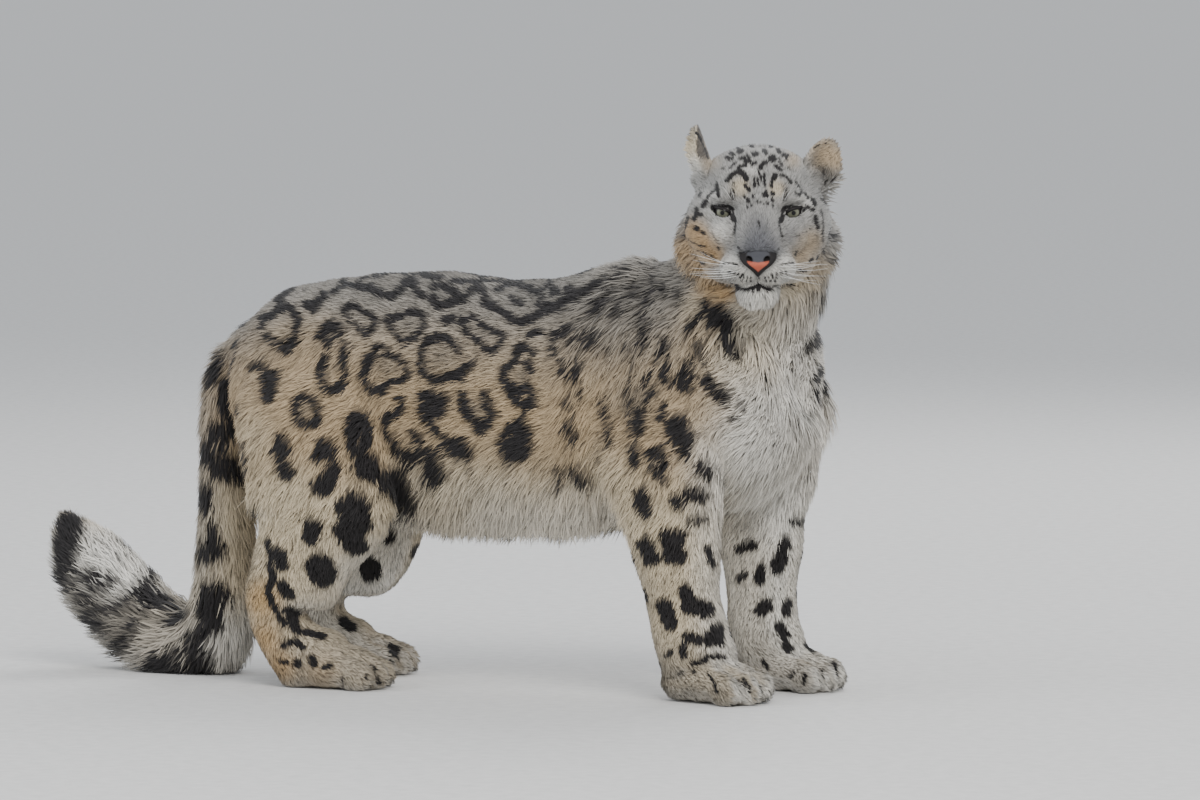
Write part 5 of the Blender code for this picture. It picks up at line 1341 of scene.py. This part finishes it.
def eyeball(name, side):
    """An eye with a pale grey-green iris and a round pupil, each its own ring of faces."""
    bm = bmesh.new()
    angles = [0.0, 2, 6, 10.4, 11.6, 14, 18, 22, 26, 30, 32.5, 34, 36, 40, 48, 58, 70, 84, 100, 120, 140, 160]
    sides = 64
    rings = []
    for angle in angles[1:]:
        a = math.radians(angle)
        bulge = 1.0 + 0.045 * max(0.0, 1 - (angle / 36) ** 2)
        ring = []
        for k in range(sides):
            turn = 2 * math.pi * k / sides
            spot = (math.cos(a) * bulge, math.sin(a) * math.cos(turn) * bulge, math.sin(a) * math.sin(turn) * bulge)
            ring.append(bm.verts.new(Vector(spot) * EYE_RADIUS))
        rings.append(ring)
    front = bm.verts.new((EYE_RADIUS * 1.045, 0, 0))
    rear = bm.verts.new((-EYE_RADIUS, 0, 0))
    for k in range(sides):
        bm.faces.new((front, rings[0][k - 1], rings[0][k]))
        bm.faces.new((rear, rings[-1][k], rings[-1][k - 1]))
        for low, high in zip(rings, rings[1:]):
            bm.faces.new((low[k], low[k - 1], high[k - 1], high[k]))
    mesh = finished_mesh(bm)
    points, _ = mesh_arrays(mesh)
    out = np.degrees(np.arccos(np.clip(unit(points)[:, 0], -1, 1)))
    turn = np.arctan2(points[:, 2], points[:, 1])
    fibres = 0.80 + 0.30 * noise3(np.stack([np.cos(turn) * 9, np.sin(turn) * 9, out * 0.06], 1), 1.0, 3)
    iris = np.array([[0.145, 0.145, 0.105]]) * fibres[:, None] * (0.80 + 0.35 * ramp(out, 11, 24))[:, None]
    iris = mix(iris, np.array([[0.06, 0.06, 0.045]]), ramp(out, 29.0, 33.0))
    # Painted shade of the upper lid over the top of the iris.
    iris *= (1.0 - 0.45 * ramp(unit(points)[:, 2], 0.05, 0.42))[:, None]
    colour = mix(np.array([[0.004, 0.004, 0.004]]) + 0 * iris, iris, ramp(out, 10.4, 11.6))
    colour = mix(colour, np.array([[0.010, 0.008, 0.008]]), ramp(out, 33.0, 37.0))
    paint(mesh, colour)
    mesh.transform(head_frame() @ eye_turned(side))
    return as_object(name, mesh)


def eyelid_rim(name, side):
    """The dark, bare edge of the lids round an eye."""
    bm = bmesh.new()
    rings = []
    outline = almond(72)
    for k, (across, up) in enumerate(outline):
        reach = math.sqrt(max((EYE_RADIUS + 0.0010) ** 2 - across**2 - up**2, 0.0))
        middle = Vector((reach, across, up))
        before, after = outline[k - 1], outline[(k + 1) % 72]
        along = Vector((0.0, after[0] - before[0], after[1] - before[1])).normalized()
        out = middle.normalized()
        sideways = along.cross(out).normalized()
        ring = []
        for j in range(10):
            turn = 2 * math.pi * j / 10
            size = RIM_SIZE * (1.35 if up > 0 else 1.0)
            ring.append(bm.verts.new(middle + (sideways * math.cos(turn) * 1.25 + out * math.sin(turn)) * size))
        rings.append(ring)
    for k in range(72):
        for j in range(10):
            bm.faces.new((rings[k - 1][j - 1], rings[k][j - 1], rings[k][j], rings[k - 1][j]))
    mesh = finished_mesh(bm)
    mesh.transform(head_frame() @ eye_turned(side))
    return as_object(name, mesh)


def nose_shape(extra):
    """The leather, with its top sunk so that the fur of the bridge runs down over it."""
    rows = [(x, y, z, a + extra, b + extra, c + extra) for x, y, z, a, b, c in NOSE_LEATHER]
    mesh = loft(rows, 40, 44)
    for vertex in mesh.vertices:
        vertex.co.x -= NOSE_SUNK * min(max((vertex.co.z + 0.0590) / 0.013, 0.0), 1.0)
    return mesh


def nose_leather():
    """The nose: pink in front, black along the wings (the leather's dark edge, widened with painted shade), with its
    nostrils cut.
    """
    nose = as_object("nose_leather", nose_shape(0.0))
    for side in (LEFT, RIGHT):
        pit = ball(mirrored(NOSTRIL_AT, side), NOSTRIL_RADII, (25.0 * side, 20.0, 20.0 * side), 24)
        combine(nose, as_object("pit", pit), "DIFFERENCE")
    bm = bmesh.new()
    bm.from_mesh(nose.data)
    bmesh.ops.triangulate(bm, faces=bm.faces)
    bmesh.ops.subdivide_edges(bm, edges=[e for e in bm.edges if e.calc_length() > 0.0018], cuts=1)
    bmesh.ops.triangulate(bm, faces=bm.faces)
    bm.to_mesh(nose.data)
    bm.free()
    points, _ = mesh_arrays(nose.data)
    x, y, z = points.T
    half = nose_half_width(z)
    # The black band along the wings: the leather's own dark edge, made wider with painted shade.
    wing = ramp(abs(y) - half, -0.0080, -0.0064)
    top = ramp(z - 0.12 * abs(y), -0.0562, -0.0548)
    colour = mix(np.array([[0.40, 0.095, 0.055]]) + 0 * points, np.array([SLATE]) * 0.55, top)
    colour = mix(colour, np.array([RIM]), wing * ramp(-z, 0.040, 0.046))
    beside = np.hypot(abs(y) - NOSTRIL_AT[1] - 0.001, z - NOSTRIL_AT[2] + 0.001)
    colour = mix(colour, np.array([RIM]), (1 - ramp(beside, 0.0050, 0.0075)) * top)
    paint(nose.data, colour)
    nose.data.transform(head_frame())
    return nose


def whiskers(skin_tree):
    """Long white hairs from the muzzle pads and two over each eye."""
    chance = random.Random(3)
    frame = head_frame()
    back = frame.inverted()
    bm = bmesh.new()
    for side in (LEFT, RIGHT):
        for row, (z, reach) in enumerate(WHISKER_ROWS):
            for k in range(3):
                y = side * (0.025 + 0.0065 * k)
                start = frame @ Vector((0.10, y, z + 0.0012 * k))
                hit = skin_tree.ray_cast(start, frame.to_3x3() @ Vector((-1, 0, 0)))[0]
                if hit is None:
                    continue
                way = Vector((0.10 - 0.20 * k, side, 0.04 - 0.16 * row + chance.uniform(-0.16, 0.20)))
                add_hair(bm, frame, back @ hit, way, reach * chance.uniform(0.75, 1.1), chance.uniform(0.0, 0.22))
        for k in range(2):
            start = frame @ Vector((0.10, side * (0.030 + 0.004 * k), 0.018))
            hit = skin_tree.ray_cast(start, frame.to_3x3() @ Vector((-1, 0, 0)))[0]
            way = Vector((0.5, side * (0.25 + 0.25 * k), 1.0))
            add_hair(bm, frame, back @ hit, way, 0.024 * chance.uniform(0.8, 1.1), -0.15, 0.0002)
    return as_object("whiskers", finished_mesh(bm))


def add_hair(bm, frame, start, way, length, sag, radius=0.00026):
    way = way.normalized()
    side = way.cross(Vector((0, 0, 1))).normalized()
    up = side.cross(way)
    rings = []
    for k in range(9):
        f = k / 8
        middle = start + way * length * f + Vector((0, 0, 1)) * sag * length * f * f
        size = radius * (1 - f) ** 0.7 + 0.00006
        rings.append([bm.verts.new(frame @ (middle + (side * math.cos(t) + up * math.sin(t)) * size))
                      for t in (0.0, 2.094, 4.189)])
    for low, high in zip(rings, rings[1:]):
        for j in range(3):
            bm.faces.new((low[j], low[j - 1], high[j - 1], high[j]))
    bm.faces.new(rings[0])
    bm.faces.new(rings[-1][::-1])

# ------- materials


def coat_material(name, roughness, bump_size, bump_depth, sheen=0.0):
    """Takes its colour from the vertex colours, markings and painted shade alike, and gives it a fine, streaky surface.
    """
    made = bpy.data.materials.new(name)
    made.use_nodes = True
    nodes, links = made.node_tree.nodes, made.node_tree.links
    shader = nodes["Principled BSDF"]
    shader.inputs["Roughness"].default_value = roughness
    shader.inputs["Specular IOR Level"].default_value = 0.25
    shader.inputs["Sheen Weight"].default_value = sheen
    colour = nodes.new("ShaderNodeVertexColor")
    colour.layer_name = "coat"
    place = nodes.new("ShaderNodeTexCoord")
    grain = nodes.new("ShaderNodeTexNoise")
    grain.inputs["Scale"].default_value = 1.0 / bump_size
    grain.inputs["Detail"].default_value = 3.0
    links.new(place.outputs["Object"], grain.inputs["Vector"])
    spread = nodes.new("ShaderNodeMapRange")
    spread.inputs["To Min"].default_value = 0.82
    spread.inputs["To Max"].default_value = 1.18
    links.new(grain.outputs["Fac"], spread.inputs["Value"])
    tinted = nodes.new("ShaderNodeVectorMath")
    tinted.operation = "SCALE"
    links.new(colour.outputs["Color"], tinted.inputs[0])
    links.new(spread.outputs["Result"], tinted.inputs["Scale"])
    links.new(tinted.outputs["Vector"], shader.inputs["Base Color"])
    bump = nodes.new("ShaderNodeBump")
    bump.inputs["Strength"].default_value = 0.5
    bump.inputs["Distance"].default_value = bump_depth
    links.new(grain.outputs["Fac"], bump.inputs["Height"])
    links.new(bump.outputs["Normal"], shader.inputs["Normal"])
    return made


def glossy(made, roughness, coat, specular=0.5):
    shader = made.node_tree.nodes["Principled BSDF"]
    shader.inputs["Roughness"].default_value = roughness
    shader.inputs["Specular IOR Level"].default_value = specular
    shader.inputs["Coat Weight"].default_value = coat
    shader.inputs["Coat Roughness"].default_value = 0.04
    return made


def plain_material(name, colour, roughness, grain_size):
    """A colour with slight mottling."""
    made = bpy.data.materials.new(name)
    made.use_nodes = True
    nodes, links = made.node_tree.nodes, made.node_tree.links
    shader = nodes["Principled BSDF"]
    shader.inputs["Roughness"].default_value = roughness
    place = nodes.new("ShaderNodeTexCoord")
    grain = nodes.new("ShaderNodeTexNoise")
    grain.inputs["Scale"].default_value = 1.0 / grain_size
    links.new(place.outputs["Object"], grain.inputs["Vector"])
    blend = nodes.new("ShaderNodeMix")
    blend.data_type = "RGBA"
    blend.inputs["A"].default_value = (*[c * 0.85 for c in colour], 1.0)
    blend.inputs["B"].default_value = (*[min(c * 1.12, 1.0) for c in colour], 1.0)
    links.new(grain.outputs["Fac"], blend.inputs["Factor"])
    links.new(blend.outputs["Result"], shader.inputs["Base Color"])
    return made


# ------- scene


def stage_and_lights():
    """A plain pale floor, soft studio light and the camera of the photograph."""
    bm = bmesh.new()
    bmesh.ops.create_grid(bm, x_segments=2, y_segments=2, size=400.0)
    floor = as_object("studio_floor", finished_mesh(bm))
    floor.data.materials.append(plain_material("studio_floor", (0.62, 0.61, 0.59), 0.85, 0.02))
    world = bpy.data.worlds.new("studio")
    world.use_nodes = True
    world.node_tree.nodes["Background"].inputs["Color"].default_value = (0.86, 0.90, 0.96, 1.0)
    world.node_tree.nodes["Background"].inputs["Strength"].default_value = 1.0
    bpy.context.scene.world = world
    for name, place, size, power, colour in LIGHTS:
        data = bpy.data.lights.new(name, "AREA")
        data.size, data.energy, data.color = size, power, colour
        light = bpy.data.objects.new(name, data)
        light.location = place
        light.rotation_mode = "QUATERNION"
        light.rotation_quaternion = (Vector((0.0, 0.0, 0.35)) - Vector(place)).to_track_quat("-Z", "Y")
        bpy.context.scene.collection.objects.link(light)
    data = bpy.data.cameras.new("camera")
    data.sensor_width, data.lens = 36.0, LENS
    camera = bpy.data.objects.new("camera", data)
    camera.location = camera_place() + REST_SHIFT
    camera.rotation_mode = "QUATERNION"
    camera.rotation_quaternion = (LOOK_AT - camera_place()).to_track_quat("-Z", "Y")
    bpy.context.scene.collection.objects.link(camera)
    bpy.context.scene.camera = camera


def whole_skin():
    """One skin over trunk, legs, tail and head, sunk by the depth of the coat, with the face cut in."""
    flesh = [loft(TRUNK, 90, 60), loft(NECK, 40, 48), ball(*BREAST, segments=48)]
    for rows, paw, heading, size in LEGS.values():
        flesh.append(loft(rows, 50, 36))
        flesh.extend(paw_shapes(paw, heading, size))
    flesh.append(loft([(x, y, z, *(r * 0.66,) * 3) for x, y, z, r in TAIL], 80, 28, 2.0))
    skin = fused("skin", flesh, BODY_VOXEL, 8)
    press_creases(skin)
    head = head_skin()
    guides = body_guides(head)
    points, normals = mesh_arrays(skin.data)
    sink = read_guides(guides, points, 5)[:, SINK]
    sunk = points - normals * sink[:, None]
    sunk[:, 2] = np.where(points[:, 2] < 0.012, np.maximum(points[:, 2], 0.0005), np.maximum(sunk[:, 2], 0.0005))
    skin.data.vertices.foreach_set("co", sunk.astype(np.float32).ravel())
    head.data.transform(head_frame())
    combine(skin, head, "UNION")
    skin.data.transform(head_frame().inverted())
    for side in (LEFT, RIGHT):
        combine(skin, as_object("socket", ball(eye_centre(side), (EYE_RADIUS + 0.0004,) * 3, segments=48)), "DIFFERENCE")
        combine(skin, eye_opening(side), "DIFFERENCE")
    combine(skin, as_object("notch", nose_shape(0.0004)), "DIFFERENCE")
    groove(skin, [(-left, up) for left, up in MOUTH_LINE[:0:-1]] + list(MOUTH_LINE), MOUTH_WIDTH)
    groove(skin, PHILTRUM, MOUTH_WIDTH * 0.7)
    skin.data.transform(head_frame())
    skin.data.update()
    unwrap(skin)
    return skin, guides


def unwrap(skin):
    skin.data.uv_layers.new(name="OFBake")
    bpy.context.view_layer.objects.active = skin
    skin.select_set(True)
    bpy.ops.object.mode_set(mode="EDIT")
    bpy.ops.mesh.select_all(action="SELECT")
    bpy.ops.uv.smart_project(angle_limit=math.radians(75), island_margin=0.002)
    bpy.ops.object.mode_set(mode="OBJECT")
    skin.select_set(False)


def finish_piece(piece, made, nodes=()):
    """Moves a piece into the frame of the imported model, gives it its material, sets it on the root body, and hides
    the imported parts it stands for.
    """
    piece.data.transform(Matrix.Translation(REST_SHIFT))
    piece.data.materials.clear()
    piece.data.materials.append(made)
    piece.data.polygons.foreach_set("use_smooth", np.ones(len(piece.data.polygons), bool))
    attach(piece, "root")
    if nodes:
        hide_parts(*nodes)


def main():
    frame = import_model()
    stage_and_lights()
    clock = time.time()
    skin, guides = whole_skin()
    print("skin", len(skin.data.polygons), round(time.time() - clock, 1))
    points, normals = mesh_arrays(skin.data)
    values = read_guides(guides, points)
    print("guides read", round(time.time() - clock, 1))
    marks_and_shade = MarksAndShade(skin, values[:, DEPTH])
    print("marks_and_shade", len(marks_and_shade.spots), round(time.time() - clock, 1))
    ground, ink = marks_and_shade.colours(points, normals)
    dark = ramp(ink, 0.34, 0.66)
    colour = mix(ground * 0.75, np.array([DARK]), dark)
    colour = mix(colour, np.array([RIM]), bare_skin(points).astype(float))
    paint(skin.data, colour)
    pieces = coat_pieces(skin, values, marks_and_shade)
    print("coat", sum(len(p.data.polygons) for p in pieces), round(time.time() - clock, 1))
    fur = coat_material("coat", 0.85, 0.0015, 0.0004, 0.1)
    skin_material = coat_material("skin", 0.9, 0.0020, 0.0012)
    eye_material = glossy(coat_material("eye", 0.3, 0.0010, 0.00005), 0.3, 0.04, 0.25)
    nose_material = glossy(coat_material("nose", 0.6, 0.0009, 0.0006), 0.6, 0.0, 0.22)
    rim_material = glossy(plain_material("lid_rim", RIM, 0.4, 0.002), 0.55, 0.0, 0.25)
    hair_material = plain_material("whisker", (0.85, 0.84, 0.80), 0.45, 0.01)
    tree = marks_and_shade.tree
    skins_nodes = [n for n in frame["nodes"] if not n.startswith(("eye", "nose"))]
    finish_piece(skin, skin_material, skins_nodes)
    for piece in pieces:
        finish_piece(piece, fur)
    for name, side in (("eye_left", LEFT), ("eye_right", RIGHT)):
        finish_piece(eyeball(name + "_ball", side), eye_material, [name])
        finish_piece(eyelid_rim(name + "_rim", side), rim_material)
    finish_piece(nose_leather(), nose_material, ["nose"])
    finish_piece(whiskers(tree), hair_material)
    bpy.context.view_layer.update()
    print("all", round(time.time() - clock, 1))


main()
